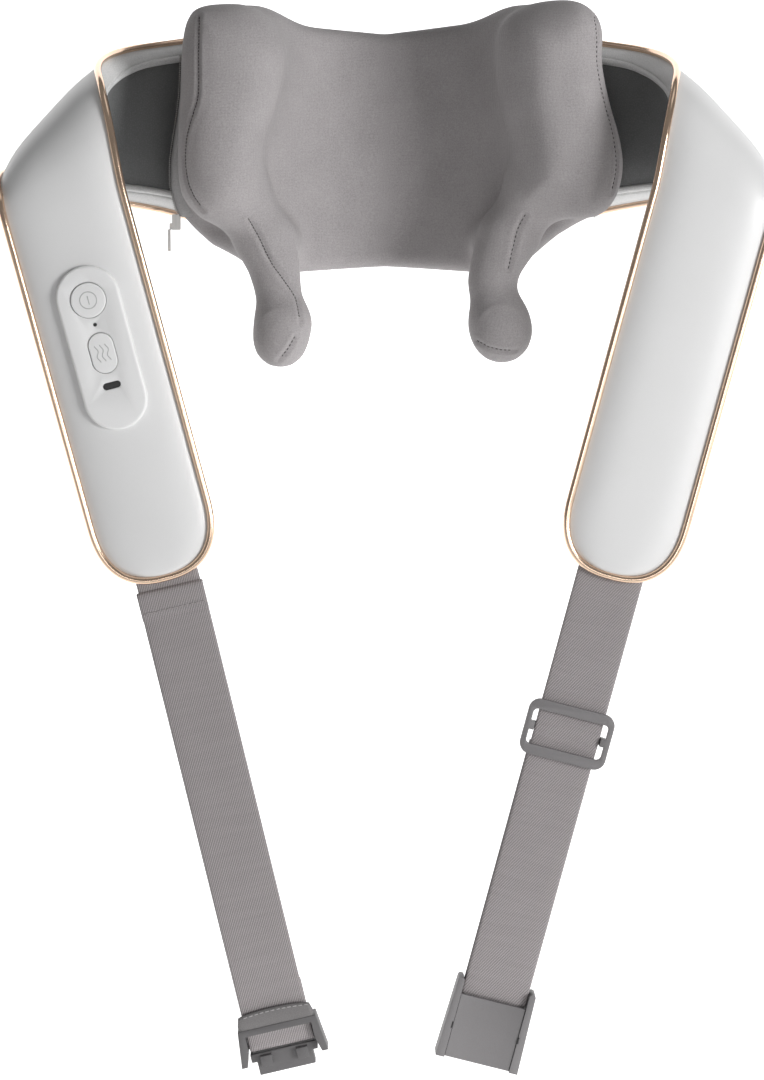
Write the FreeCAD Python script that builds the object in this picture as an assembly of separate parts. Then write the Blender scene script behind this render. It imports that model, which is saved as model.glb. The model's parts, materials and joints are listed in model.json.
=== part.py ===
"""Wearable shiatsu neck massager, in millimetres.

Frame: +Z up along the spine, +Y away from the wearer's nape towards the rear shell, +X to the
right as seen by somebody who faces the massage heads. The origin is where the nape rests, on
the middle of the fabric cover. The right side is modelled and mirrored to the left.
"""
import FreeCAD
import Part
import math
import os

V = FreeCAD.Vector
X, Y, Z = V(1, 0, 0), V(0, 1, 0), V(0, 0, 1)
ORIGIN = V(0, 0, 0)

# ---------------------------------------------------------------- driving dimensions
# Right half of the U-shaped band, as pairs (top or inner edge, bottom or outer edge). The band
# runs from the middle of the back, round the side and over the shoulder to the chest.
BAND_EDGES = [
    ((0, 36, 59), (0, 36, -56)),
    ((45, 33, 61), (45, 33, -54)),
    ((85, 21, 61), (85, 21, -44)),
    ((122, 1, 56), (122, 1, -33)),
    ((140, -18, 52.5), (162, -17, -25)),
    ((149, -40, 48), (188, -39, -17)),
    ((151, -64, 42), (200, -64, -12)),
    ((147.5, -87, 32), (201.5, -88, -16)),
    ((142.5, -100, 12), (199.5, -100, -23)),
    ((136.2, -104, -20.1), (196.6, -104, -35.9)),
]
HINGE_T = 3.0                 # station of the arm's flex line
FRONT_T = 9.0                 # station where the flat chest plate starts
PARTING_T = 0.015             # half a millimetre of parting at the flex line
ARM_LEAN_DEG = 14.7           # the chest plates lean inwards towards the tips
ARM_LENGTH = 199.0            # chest plate, from its start to the tip
ARM_HALF_WIDTH = 31.2
TIP_LENGTH = 36.0             # rounded part of the tip
TIP_POWER = 2.5

TRIM_RADIUS = 1.9
SHELL_INSET = 2.2             # trim centre to shell edge
SHELL_CROWN = 4.9
SHELL_WALL = 1.8
SHELL_EDGE_Q = 0.4
PAD_Q = 2.3                   # depths q are measured from the trim plane towards the body
PAD_BACK_Q = 12.0
PAD_BACK_INSET = 8.0
LINING_INSET = 9.0
LINING_FRONT_Q = 12.05
LINING_Q = 13.2

COVER_RADIUS = 90.0           # the nape panel is part of a cylinder
COVER_FLAT_Y = -22.9          # the cover's face behind the upper heads
COVER_WALL = 2.0
COVER_SIDE_X = 110.0
ZIP_BRIDGE = (-115.4, -41.5)    # x and z of the bar that the zip pull swings on
COVER_TOP = [(0, 63), (50, 66), (85, 66), (110, 55)]
COVER_BOTTOM = [(110, -37), (85, -57), (62, -67), (0, -64)]

GEAR_Y = 21.5                 # mid-plane of the worm wheels
MODULE = 1.0
WHEEL_TEETH = 30
WORM_PITCH_RADIUS = 5.0
CENTRE_DISTANCE = MODULE * WHEEL_TEETH / 2 + WORM_PITCH_RADIUS
CRANK_RADIUS = 2.8
TRAY_BOSSES = [(x, z) for x in (-34, 34) for z in (-18, 18)]
HAND_PIVOT = V(52, 0, 0)
UPPER_POST = V(91, 0, 18)
LOWER_POST = V(58, 0, -50)

POD_S = 75.0                  # centre of the control pod along the chest plate
POD_LENGTH = 86.0
POD_WIDTH = 33.0
POD_TOP_Q = -6.7
POD_BASE_Q = -0.9
POWER_S, LED_S, HEAT_S, USB_S = -25.3, -12.4, 2.6, 19.8

STRAP_WIDTH = 35.0
STRAP_THICK = 1.8
STRAP_Q = 4.1                 # depth of the strap's middle plane
STRAP_FOLD_S = 202.6          # the strap swings about its fold, just past the tip
LEFT_SPLAY_DEG = 1.6          # the left strap hangs a little further outwards than its arm
LEFT_BAR_S = 456.5            # bars that the webbing turns round
SLIDER_S = 286.0
RIGHT_BAR_S = 433.9
BAR_RADIUS = 1.7

lean = math.radians(ARM_LEAN_DEG)
DOWN = V(-math.sin(lean), 0, -math.cos(lean))     # along the right chest plate
ACROSS = V(math.cos(lean), 0, -math.sin(lean))    # from its inner to its outer edge


# ---------------------------------------------------------------- small helpers
def save(name, *solids):
    shape = solids[0] if len(solids) == 1 else Part.makeCompound(list(solids))
    shape.exportStep(os.path.join("parts", name + ".step"))
    print(name, len(shape.Solids), round(shape.Volume / 1000, 2), "cm3", shape.isValid())


def left(shape):
    """The same piece on the left side."""
    return shape.mirror(ORIGIN, X)


def cyl(radius, start, end):
    axis = end - start
    return Part.makeCylinder(radius, axis.Length, start, axis)


def cyl_y(radius, x, z, y0, y1):
    return cyl(radius, V(x, y0, z), V(x, y1, z))


def box(x0, x1, y0, y1, z0, z1):
    return Part.makeBox(x1 - x0, y1 - y0, z1 - z0, V(x0, y0, z0))


def prism(points, direction):
    return Part.Face(Part.makePolygon(points + [points[0]])).extrude(direction)


def one(shape):
    """The single solid of a boolean result."""
    shape = shape.removeSplitter()
    return shape.Solids[0] if len(shape.Solids) == 1 else shape


def loft(wires):
    return Part.makeLoft(wires, True, True)


# ---------------------------------------------------------------- the band's surface
def catmull(points, t):
    """Catmull-Rom curve through points, at station t."""
    i = min(int(t), len(points) - 2)
    f = t - i
    p1, p2 = points[i], points[i + 1]
    p0 = points[i - 1] if i else V(-p2.x, p2.y, p2.z)
    p3 = points[i + 2] if i + 2 < len(points) else p2 + DOWN * 35
    return (
        p1 * 2
        + (p2 - p0) * f
        + (p0 * 2 - p1 * 5 + p2 * 4 - p3) * f**2
        + (p1 * 3 - p0 - p2 * 3 + p3) * f**3
    ) * 0.5


INNER_EDGE = [V(*a) for a, b in BAND_EDGES]
OUTER_EDGE = [V(*b) for a, b in BAND_EDGES]


def band_frame(t):
    """Inner edge, outer edge and outward normal of the curved band at station t."""
    sign = -1 if t < 0 else 1
    step = 0.02
    a, b = catmull(INNER_EDGE, abs(t)), catmull(OUTER_EDGE, abs(t))
    t1 = min(abs(t) + step, FRONT_T)
    t0 = t1 - step
    ahead = catmull(INNER_EDGE, t1) + catmull(OUTER_EDGE, t1)
    behind = catmull(INNER_EDGE, t0) + catmull(OUTER_EDGE, t0)
    if t == 0:
        normal = V(0, 1, 0)
    else:
        normal = (ahead - behind).cross(b - a).normalize()
    if sign < 0:
        a, b, normal = (V(-p.x, p.y, p.z) for p in (a, b, normal))
    return a, b, normal


def plate_point(s, across, q):
    """A point of the right chest plate: s down the arm, across from its middle, q deep."""
    middle = (INNER_EDGE[-1] + OUTER_EDGE[-1]) * 0.5
    return middle + DOWN * s + ACROSS * across + V(0, q, 0)


def half_width(s, inset):
    """Half the width of the chest plate at s, with its rounded tip, inset from the outline."""
    into_tip = s - (ARM_LENGTH - TIP_LENGTH)
    if into_tip <= 0:
        return ARM_HALF_WIDTH - inset
    share = min(1.0, into_tip / (TIP_LENGTH - inset))
    return (ARM_HALF_WIDTH - inset) * (1 - share**TIP_POWER) ** (1 / TIP_POWER)


def layer_point(station, side, inset, q, crown=0.0):
    """A point at side -1 (inner edge) to 1 (outer edge) of a layer that is inset from the edge.

    The crown stands out over the middle, and runs out with the width at the tip.
    """
    kind, value = station
    if kind == "band":
        a, b, normal = band_frame(value)
        along = (b - a).normalize()
        middle = (a + b) * 0.5
        half = (b - a).Length / 2 - inset
        return middle + along * (half * side) - normal * (q - crown)
    half = half_width(value, inset)
    return plate_point(value, half * side, q - crown * half / (ARM_HALF_WIDTH - inset))


def stations(first, last=None, inset=0.0):
    """Stations from band station first to band station last, or to the tip if last is None."""
    end = FRONT_T if last is None else last
    count = max(2, round(abs(end - first) * 4) + 1)
    found = [("band", first + (end - first) * i / (count - 1)) for i in range(count)]
    if last is None:
        straight = ARM_LENGTH - TIP_LENGTH
        found += [("plate", straight * k) for k in (0.34, 0.67, 1.0)]
        tip = TIP_LENGTH - inset
        found += [("plate", straight + tip * k) for k in (0.3, 0.52, 0.7, 0.83, 0.92, 0.97, 0.99)]
    return found


def layer(places, profile):
    """Solid strip through the stations. profile lists (side, inset, q) round its section."""
    wires = []
    for place in places:
        points = [layer_point(place, *p) for p in profile]
        wires.append(Part.makePolygon(points + [points[0]]))
    return loft(wires)


def crowned_profile():
    sides = [-1, -0.85, -0.5, 0, 0.5, 0.85, 1]
    outer = [(f, SHELL_INSET, SHELL_EDGE_Q, SHELL_CROWN * (1 - f * f)) for f in sides]
    inner = [(f, i, q + SHELL_WALL, crown) for f, i, q, crown in reversed(outer)]
    return outer + inner


def tube_along(points, radius):
    curve = Part.BSplineCurve()
    curve.interpolate(points)
    path = Part.Wire(curve.toShape())
    start = curve.tangent(curve.FirstParameter)[0]
    ring = Part.Wire(Part.makeCircle(radius, points[0], start))
    return path.makePipeShell([ring], True, True)


# ---------------------------------------------------------------- band pieces
def band_pieces():
    root = stations(-HINGE_T + PARTING_T, HINGE_T - PARTING_T)
    arm = stations(HINGE_T)
    save("rear_shell", layer(root, crowned_profile()))
    edges = [[layer_point(p, side, 0, 0) for p in root] for side in (-1, 1)]
    save("rear_trim", *[tube_along(points, TRIM_RADIUS) for points in edges])

    block_t = 2.62            # the rim closes the band's full width beyond this station
    rim = []
    for side in (-1, 1):
        profile = [(side, i, q) for i, q in ((2.2, 2.3), (8.5, 2.3), (9.5, 12), (7, 12))]
        rim.append(layer(stations(-block_t, block_t), profile))
    pad = [(-1, SHELL_INSET, PAD_Q), (1, SHELL_INSET, PAD_Q),
           (1, PAD_BACK_INSET, PAD_BACK_Q), (-1, PAD_BACK_INSET, PAD_BACK_Q)]
    block = layer(stations(block_t + 0.01, HINGE_T - PARTING_T), pad)
    save("rear_rim", *rim, block, left(block))

    tray = layer(stations(-2.6, 2.6),
                 [(-1, 9, 1.2), (1, 9, 1.2), (1, 9, 3.4), (-1, 9, 3.4)])
    for x, z in TRAY_BOSSES:
        tray = tray.fuse(cyl_y(4, x, z, 28.5, 32)).cut(cyl_y(1.25, x, z, 27, 31))
    save("chassis_tray", one(tray))

    shell = layer(stations(HINGE_T, inset=SHELL_INSET), crowned_profile())
    lining = layer(stations(HINGE_T, inset=LINING_INSET),
                   [(-1, LINING_INSET, LINING_FRONT_Q), (1, LINING_INSET, LINING_FRONT_Q),
                    (1, LINING_INSET, LINING_Q), (-1, LINING_INSET, LINING_Q)])
    foam = layer(stations(HINGE_T, inset=PAD_BACK_INSET), pad)
    spring = layer(stations(HINGE_T + 0.02, FRONT_T), spring_profile())
    inner = [layer_point(p, -1, 0, 0) for p in arm]
    outer = [layer_point(p, 1, 0, 0) for p in arm]
    tip = [plate_point(ARM_LENGTH, 0, 0)]
    trim = tube_along(inner + tip + outer[::-1], TRIM_RADIUS)
    return shell, lining, foam, spring, trim


def spring_profile():
    """The spring strip's section: a constant width about the band's middle."""
    return [(-0.3, 0, 0.9), (0.3, 0, 0.9), (0.3, 0, 1.9), (-0.3, 0, 1.9)]


# ---------------------------------------------------------------- chest plates
def plate_box(s0, s1, half, q0, q1, across=0.0):
    """A box in the right chest plate's own directions."""
    corners = [plate_point(s, across + a, q0)
               for s, a in ((s0, -half), (s1, -half), (s1, half), (s0, half))]
    return prism(corners, V(0, q1 - q0, 0))


def stadium(s, length, width, q0, q1):
    """A stadium along the arm, centred at s, as a prism from depth q0 to q1."""
    r = width / 2
    reach = length / 2 - r
    ends = [plate_point(s - reach, 0, q0), plate_point(s + reach, 0, q0)]
    shape = plate_box(s - reach, s + reach, r, q0, q1) if reach > 0 else None
    for end in ends:
        disc = Part.makeCylinder(r, q1 - q0, end, Y)
        shape = disc if shape is None else shape.fuse(disc)
    return one(shape)


def top_edges(shape, q):
    """Edges that lie wholly at depth q of the chest plate."""
    level = BAND_EDGES[-1][0][1] + q
    return [e for e in shape.Edges if all(abs(v.Point.y - level) < 1e-4 for v in e.Vertexes)
            and abs(e.BoundBox.YLength) < 1e-4]


def control_pieces(shell):
    pod = stadium(POD_S, POD_LENGTH, POD_WIDTH, POD_TOP_Q, POD_BASE_Q)
    shell = shell.cut(stadium(POD_S, POD_LENGTH + 0.2, POD_WIDTH + 0.2, POD_TOP_Q, POD_BASE_Q + 1))
    pod = pod.makeFillet(1.6, top_edges(pod, POD_TOP_Q))
    power = stadium(POD_S + POWER_S, 18, 18, -7.6, -2.8)
    heat = stadium(POD_S + HEAT_S, 21, 13, -7.3, -2.8)
    for s, length, width in ((POWER_S, 18.6, 18.6), (HEAT_S, 21.6, 13.6)):
        pod = pod.cut(stadium(POD_S + s, length, width, -9, -1.8))
        pod = pod.cut(stadium(POD_S + s, 3.4, 3.4, -3, 0))
    pod = pod.cut(stadium(POD_S + LED_S, 2, 2, -9, 0))
    socket_slot = plate_slot(POD_S + USB_S, 9.4, 3.7, -9, 0)
    pod = pod.cut(socket_slot)
    power = power.makeFillet(0.6, top_edges(power, -7.6))
    heat = heat.makeFillet(0.6, top_edges(heat, -7.3))
    lens = stadium(POD_S + LED_S, 1.9, 1.9, -6.9, -0.2)
    socket = plate_slot(POD_S + USB_S, 9.0, 3.3, -6.2, -0.2)
    socket = socket.cut(plate_slot(POD_S + USB_S, 8.4, 2.7, -7, -0.8))
    tongue = plate_box(POD_S + USB_S - 0.35, POD_S + USB_S + 0.35, 3.3, -5.4, -0.7)
    socket = one(socket.fuse(tongue))
    board = plate_box(POD_S - 40, POD_S + 34, 12.5, 0.1, 1.5)
    for s in (POWER_S, HEAT_S):
        switch = stadium(POD_S + s, 3.0, 3.0, -1.95, 0.1)
        base = plate_box(POD_S + s - 3, POD_S + s + 3, 3, -0.7, 0.1)
        board = board.fuse(switch).fuse(base)
    return shell, pod, power, heat, lens, socket, one(board)


def plate_slot(s, length, width, q0, q1):
    """A stadium that lies across the arm."""
    r = width / 2
    reach = length / 2 - r
    shape = plate_box(s - r, s + r, reach, q0, q1)
    for a in (-reach, reach):
        shape = shape.fuse(Part.makeCylinder(r, q1 - q0, plate_point(s, a, q0), Y))
    return one(shape)


def arms():
    shell, lining, foam, spring, trim = band_pieces()
    half_thick = STRAP_THICK / 2
    tab_slot = plate_box(ARM_LENGTH - 22, ARM_LENGTH + 6, STRAP_WIDTH / 2 + 0.4,
                         STRAP_Q - half_thick - 0.2, STRAP_Q + half_thick + 0.2)
    foam = one(foam.cut(tab_slot))
    tab = plate_box(ARM_LENGTH - 21, STRAP_FOLD_S - 0.6, STRAP_WIDTH / 2,
                    STRAP_Q - half_thick, STRAP_Q + half_thick)
    pack = plate_box(66, 132, 17, 3.4, 9.8)
    pack_room = plate_box(65.5, 132.5, 17.5, 2.0, 10.2)
    board_room = plate_box(POD_S - 41, POD_S + 35, 13.5, 1.9, 3.4)
    left_shell, pod, power, heat, lens, socket, board = control_pieces(shell)
    left_foam = one(foam.cut(board_room))

    save("arm_shell_right", shell)
    save("arm_shell_left", left(one(left_shell)))
    save("arm_pad_right", one(foam.cut(pack_room)))
    save("arm_pad_left", left(left_foam))
    ribbon = layer(stations(HINGE_T + 0.02, FRONT_T),
                   [(0.4, 0, 0.9), (0.55, 0, 0.9), (0.55, 0, 1.5), (0.4, 0, 1.5)])
    for name, shape in (("arm_lining", lining), ("spring_strip", spring), ("arm_trim", trim),
                        ("ribbon_cable", ribbon), ("strap_tab", tab)):
        save(name + "_right", shape)
        save(name + "_left", left(shape))
    save("battery_pack", pack.makeFillet(1.0, pack.Edges))
    save("control_pod", left(one(pod)))
    save("power_button", left(power))
    save("heat_button", left(heat))
    save("indicator_lens", left(lens))
    save("usb_socket", left(socket))
    save("control_board", left(board))


# ---------------------------------------------------------------- gearbox
def wheel_outline(y, turn):
    """Closed wire of the worm wheel's teeth about the origin, in a plane across Y."""
    pitch_r = MODULE * WHEEL_TEETH / 2
    pressure = math.radians(20)
    base_r = pitch_r * math.cos(pressure)
    half_pitch = 1.32 / 2 / pitch_r
    involute = math.tan(pressure) - pressure

    def half_angle(r):
        a = math.acos(min(1.0, base_r / r))
        return half_pitch + involute - (math.tan(a) - a)

    radii = [pitch_r - 1.25 * MODULE, base_r, pitch_r, pitch_r + MODULE]
    points = []
    for k in range(WHEEL_TEETH):
        middle = 2 * math.pi * k / WHEEL_TEETH + turn
        flank = [(r, -half_angle(max(r, base_r))) for r in radii]
        for r, a in flank + [(r, -a) for r, a in reversed(flank)]:
            points.append(V(r * math.cos(middle + a), y, -r * math.sin(middle + a)))
    return Part.makePolygon(points + [points[0]])


def worm_wheel(x, turn):
    """A positive turn is right-handed about +Y, and the teeth twist to follow the worm."""
    face = 7.0
    twist = face / 2 * (MODULE / 2 / WORM_PITCH_RADIUS) / (MODULE * WHEEL_TEETH / 2)
    teeth = loft([wheel_outline(-face / 2, turn - twist), wheel_outline(face / 2, turn + twist)])
    wheel = teeth.fuse(cyl_y(6, 0, 0, -3.5, 4.4)).cut(cyl_y(3, 0, 0, -5, 5))
    for k in range(6):
        a = math.radians(60 * k)
        wheel = wheel.cut(cyl_y(2, 9.5 * math.cos(a), 9.5 * math.sin(a), -5, 5))
    wheel.translate(V(x, GEAR_Y, 0))
    return one(wheel)


def worm():
    pitch = math.pi * MODULE
    turns = 6
    helix = Part.makeHelix(pitch, pitch * turns, 3.6)
    profile = Part.makePolygon([V(3.5, 0, -1.25), V(6, 0, -0.346), V(6, 0, 0.346),
                                V(3.5, 0, 1.25), V(3.5, 0, -1.25)])
    thread = Part.Wire(helix).makePipeShell([profile], True, True)
    thread.translate(V(0, 0, -pitch * turns / 2))
    core = cyl(3.7, V(0, 0, -13), V(0, 0, 13))
    ends = cyl(8, V(0, 0, -9.2), V(0, 0, 9.2))
    body = core.fuse(thread.common(ends))
    body = body.fuse(cyl(1.5, V(0, 0, -26), V(0, 0, -13))).fuse(cyl(2, V(0, 0, 13), V(0, 0, 19)))
    body.translate(V(0, GEAR_Y, 0))
    return one(body)


def drive_shaft(x):
    """Steel shaft with its crank disc and crank pin, which is level with the shaft at rest."""
    shaft = cyl_y(3, x, 0, 11, 28.4)
    disc = cyl_y(7, x, 0, 8.5, 11)
    toward = 1 if x > 0 else -1
    pin = cyl_y(2, x + toward * CRANK_RADIUS, 0, 5.8, 8.5)
    return one(shaft.fuse(disc).fuse(pin))


def gearbox():
    d = CENTRE_DISTANCE
    save("worm", worm())
    half_tooth = math.pi / WHEEL_TEETH
    save("worm_wheel_right", worm_wheel(d, half_tooth))
    save("worm_wheel_left", worm_wheel(-d, 0))
    save("drive_shaft_right", drive_shaft(d))
    save("drive_shaft_left", drive_shaft(-d))

    rear = box(-46, 46, 26.5, 28.5, -22, 22)
    rear = rear.fuse(box(-9, 9, 15.5, 27, 14.2, 19.5))
    rear = rear.fuse(box(-12, 12, 12, 27, -23.4, -20.6))
    rear = rear.cut(box(-5, 5, 25, 30, -10.5, 10.5))      # room for the worm's thread
    rear = rear.cut(cyl(2.05, V(0, GEAR_Y, 10), V(0, GEAR_Y, 19.6)))
    rear = rear.cut(cyl(3.2, V(0, GEAR_Y, -25), V(0, GEAR_Y, -15)))
    posts = [(x, z) for x in (-43, 43) for z in (-17, 17)]
    for x, z in posts:
        rear = rear.fuse(cyl_y(3.5, x, z, 15, 26.5))
    front = box(-64, 64, 12, 15, -21, 21)
    front = front.cut(box(-13, 13, 11, 16, -30, -20))
    for x in (-d, d):
        rear = rear.cut(cyl_y(4.5, x, 0, 25, 30))
        front = front.cut(cyl_y(4.5, x, 0, 11, 16))
    for x in (-52, 52):
        front = front.fuse(cyl_y(6.5, x, 0, 12, 21)).cut(cyl_y(2.5, x, 0, 11, 22))
    screws = []
    for x, z in posts:
        rear = rear.cut(cyl_y(1.25, x, z, 14, 27))
        front = front.cut(cyl_y(1.6, x, z, 11, 16))
        screws.append(one(cyl_y(1.25, x, z, 12, 22).fuse(cyl_y(2.8, x, z, 10.2, 12))))
    for x, z in TRAY_BOSSES:
        rear = rear.cut(cyl_y(1.6, x, z, 25, 29))
        screws.append(one(cyl_y(1.25, x, z, 26.5, 30.5).fuse(cyl_y(2.8, x, z, 24.7, 26.5))))
    save("gearbox_rear_plate", one(rear))
    save("gearbox_front_plate", one(front))
    save("gearbox_screws", *screws)

    board = box(-36, 36, 25.4, 27, 26, 47.5)
    for x, z, width, height in ((-20, 38, 12, 12), (12, 39, 18, 8), (24, 30, 10, 5)):
        board = board.fuse(box(x, x + width, 22.6, 25.4, z - height / 2, z + height / 2))
    save("main_board", one(board))

    bushes = []
    for x in (-d, d):
        for y0, y1 in ((12, 15), (26.5, 28.5)):
            bushes.append(cyl_y(4.5, x, 0, y0, y1).cut(cyl_y(3.05, x, 0, y0 - 1, y1 + 1)))
    save("shaft_bushes", *bushes)

    can = cyl(10, V(0, GEAR_Y, -46), V(0, GEAR_Y, -23.6))
    can = can.common(box(-9, 9, 5, 40, -60, -20))
    can = can.fuse(cyl(3.1, V(0, GEAR_Y, -23.6), V(0, GEAR_Y, -21.5)))
    can = can.cut(cyl(1.6, V(0, GEAR_Y, -27), V(0, GEAR_Y, -20)))
    save("motor", one(can))

    screws = []
    for x in (-52, 52):
        shank = cyl_y(3, x, 0, -4.3, 12).fuse(cyl_y(2.45, x, 0, 12, 19.5))
        screws.append(one(shank.fuse(cyl_y(5.5, x, 0, -6.8, -4.3))))
    save("hand_pivot_screws", *screws)


# ---------------------------------------------------------------- kneading hands
def arm_plate(start, end, width, y0, y1):
    """A round-ended bar in a plane across Y."""
    along = (end - start).normalize()
    side = V(-along.z, 0, along.x) * (width / 2)
    base = V(0, y0, 0)
    bar = prism([start + side + base, end + side + base, end - side + base, start - side + base],
                V(0, y1 - y0, 0))
    for p in (start, end):
        bar = bar.fuse(cyl_y(width / 2, p.x, p.z, y0, y1))
    return bar


def hand():
    p, crank = HAND_PIVOT, V(CENTRE_DISTANCE + CRANK_RADIUS, 0, 0)
    body = arm_plate(p, V(17, 0, 0), 13, 2.2, 5.4).fuse(cyl_y(9, p.x, p.z, -4, 11.7))
    body = body.fuse(arm_plate(p, UPPER_POST, 17, -4, 1))
    body = body.fuse(arm_plate(p, LOWER_POST, 15, -4, 1))
    body = body.fuse(cyl_y(8, UPPER_POST.x, UPPER_POST.z, -56, 1))
    body = body.fuse(cyl_y(6.5, LOWER_POST.x, LOWER_POST.z, -38, 1))
    body = body.fuse(cyl(6.5, V(LOWER_POST.x, -38, LOWER_POST.z), V(57, -45, -92)))
    body = body.cut(cyl_y(3.05, p.x, p.z, -6, 13))
    slot = box(crank.x - 8, crank.x + 2.6, 0, 6, -2.1, 2.1)
    body = body.cut(slot)
    return one(body)


UPPER_OUTLINE = [(60, 58), (70, 75), (90, 77), (108, 68), (111, 44), (116, 14), (118, -12),
                 (108, -33), (88, -36), (70, -20), (60, 20)]
UPPER_MIDDLE = (89, 20)
# Depth, share of the full outline: the head narrows to a crowned face.
UPPER_SECTIONS = [(-23.6, 1.0), (-40, 1.0), (-56, 0.95), (-66, 0.84), (-72, 0.62)]


def upper_loft(inset, back_y, front_y):
    wires = []
    for y, share in UPPER_SECTIONS:
        points = []
        for x, z in UPPER_OUTLINE:
            out = V(x - UPPER_MIDDLE[0], 0, z - UPPER_MIDDLE[1])
            out = out * share
            out = out * ((out.Length - inset) / out.Length)
            points.append(V(UPPER_MIDDLE[0] + out.x, 0, UPPER_MIDDLE[1] + out.z))
        curve = Part.BSplineCurve()
        curve.interpolate(Points=points, PeriodicFlag=True)
        depth = (y - UPPER_SECTIONS[0][0]) / (UPPER_SECTIONS[-1][0] - UPPER_SECTIONS[0][0])
        wire = Part.Wire(curve.toShape())
        wire.translate(V(0, back_y + (front_y - back_y) * depth, 0))
        wires.append(wire)
    return Part.makeLoft(wires, True, False)


def capsule(start, end, r0, r1):
    bar = Part.makeCone(r0, r1, (end - start).Length, start, end - start)
    return one(bar.fuse(Part.makeSphere(r0, start)).fuse(Part.makeSphere(r1, end)))


def heads():
    rocker = hand()
    save("hand_right", rocker)
    save("hand_left", left(rocker))
    outer = upper_loft(0, -23.6, -72)
    inner = upper_loft(2.2, -23.6, -70)
    upper_sleeve = outer.cut(inner)
    film = inner.common(box(0, 200, -71, -68.8, -100, 100))
    head = inner.common(box(0, 200, -68.8, -20, -100, 100))
    head = head.cut(cyl_y(8, UPPER_POST.x, UPPER_POST.z, -56, 0))

    root, end = V(58, -39, -58), V(58, -46, -100)
    skin = capsule(root, end, 12.0, 15.2)
    core = capsule(root, end, 10.0, 13.2)
    bore = cyl_y(6.5, LOWER_POST.x, LOWER_POST.z, -38, 0)
    core = core.cut(bore)
    stem = cyl(6.5, V(LOWER_POST.x, -38, LOWER_POST.z), V(57, -45, -92))
    lower_sleeve = skin.cut(capsule(root, end, 10.0, 13.2)).cut(bore).cut(stem)
    core = core.cut(stem)
    for side, turn in (("right", lambda s: s), ("left", left)):
        save("upper_head_" + side, turn(one(head)))
        save("lower_head_" + side, turn(max(core.Solids, key=lambda solid: solid.Volume)))
        save("heating_film_" + side, turn(one(film)))
        save("head_sleeves_" + side, turn(one(upper_sleeve)), turn(one(lower_sleeve)))


# ---------------------------------------------------------------- fabric cover
def cover_block(wall, through_back):
    """The cover's outer block, or with wall > 0 its hollow inside."""
    r = COVER_RADIUS + wall
    reach = 60.0
    side = COVER_SIDE_X - wall
    flat = COVER_FLAT_Y + wall
    start = V(-reach, -COVER_RADIUS + math.sqrt(r * r - reach * reach), 0)
    end = V(reach, start.y, 0)
    rear = [V(side, -6.5, 0), V(85, 7.6, 0), V(45, 19.0, 0), V(0, 23.0, 0)]
    if through_back:
        rear = [V(side, 10, 0), V(85, 20, 0), V(45, 30, 0), V(0, 40, 0)]
    mirrored = [V(-p.x, p.y, 0) for p in reversed(rear[:-1])]
    edges = [Part.Arc(start, V(0, -COVER_RADIUS + r, 0), end).toShape()]
    chain = [end, V(side - 7, flat, 0), V(side, flat + 7, 0)] + rear + mirrored
    chain += [V(-side, flat + 7, 0), V(-side + 7, flat, 0), start]
    edges += [Part.makeLine(a, b) for a, b in zip(chain, chain[1:])]
    plan = Part.Face(Part.Wire(edges)).extrude(V(0, 0, 200))
    plan.translate(V(0, 0, -100))
    right_side = [(x, z - wall) for x, z in COVER_TOP] + [(x, z + wall) for x, z in COVER_BOTTOM]
    left_side = [(-x, z) for x, z in reversed(right_side) if x]
    front = [V(x, -60, z) for x, z in right_side + left_side]
    return plan.common(prism(front, V(0, 120, 0)))


def cover():
    base = cover_block(0, False).cut(cover_block(COVER_WALL, True))
    for x in (-1, 1):
        base = base.cut(cyl_y(13.5, x * UPPER_POST.x, UPPER_POST.z, -40, 5))
        base = base.cut(cyl_y(11.5, x * LOWER_POST.x, LOWER_POST.z, -40, 5))
    save("cover_base", one(base))
    tape = box(110.1, 111.3, -16, -7.5, -35, 50)
    teeth = box(111.3, 112.1, -13, -10.5, -33, 48)
    tape = one(tape.fuse(teeth))
    save("zipper_tapes", tape, left(tape))
    runner = box(-116, -111.4, -14.5, -9, -43.5, -35.2)
    runner = runner.cut(box(-117, -113.5, -12.6, -10.9, -44, -35))
    bridge_x, bridge_z = ZIP_BRIDGE
    save("zipper_slider", one(runner.fuse(cyl_y(0.7, bridge_x, bridge_z, -13.5, -10))))
    pull = box(-118.4, -116.9, -14, -9.6, -55, -43.2)
    pull = pull.fuse(box(-117.5, bridge_x, -12.3, -11.2, -43.4, -39.9))
    pull = pull.fuse(cyl_y(1.6, bridge_x, bridge_z, -12.3, -11.2))
    save("zipper_pull", one(pull.cut(cyl_y(0.78, bridge_x, bridge_z, -16, -8))))


# ---------------------------------------------------------------- straps and buckle
def turned_webbing(start, bar_s, back_start):
    """Webbing that runs down the front, turns round a bar and comes back up behind it."""
    t, r = STRAP_THICK, BAR_RADIUS + 0.1
    half = STRAP_WIDTH / 2
    front = plate_box(start, bar_s, half, STRAP_Q - t / 2, STRAP_Q + t / 2)
    centre_q = STRAP_Q + t / 2 + r
    back = plate_box(back_start, bar_s, half, centre_q + r, centre_q + r + t)
    turn = cross_rod(r + t, bar_s, half, centre_q).cut(cross_rod(r, bar_s, half + 1, centre_q))
    turn = turn.common(plate_box(bar_s, bar_s + 20, half, -20, 30))
    return one(front.fuse(turn).fuse(back))


def cross_rod(radius, s, half, q):
    return cyl(radius, plate_point(s, -half, q), plate_point(s, half, q))


def bar_depth():
    """Depth of the axis of the bars that the webbing turns round."""
    return STRAP_Q + STRAP_THICK / 2 + BAR_RADIUS + 0.1


def rounded(shape, radius, depth):
    """Rounds the edges that run depth along Y."""
    edges = [e for e in shape.Edges if abs(e.BoundBox.YLength - depth) < 1e-3
             and e.BoundBox.XLength < 1e-3]
    return shape.makeFillet(radius, edges)


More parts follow.
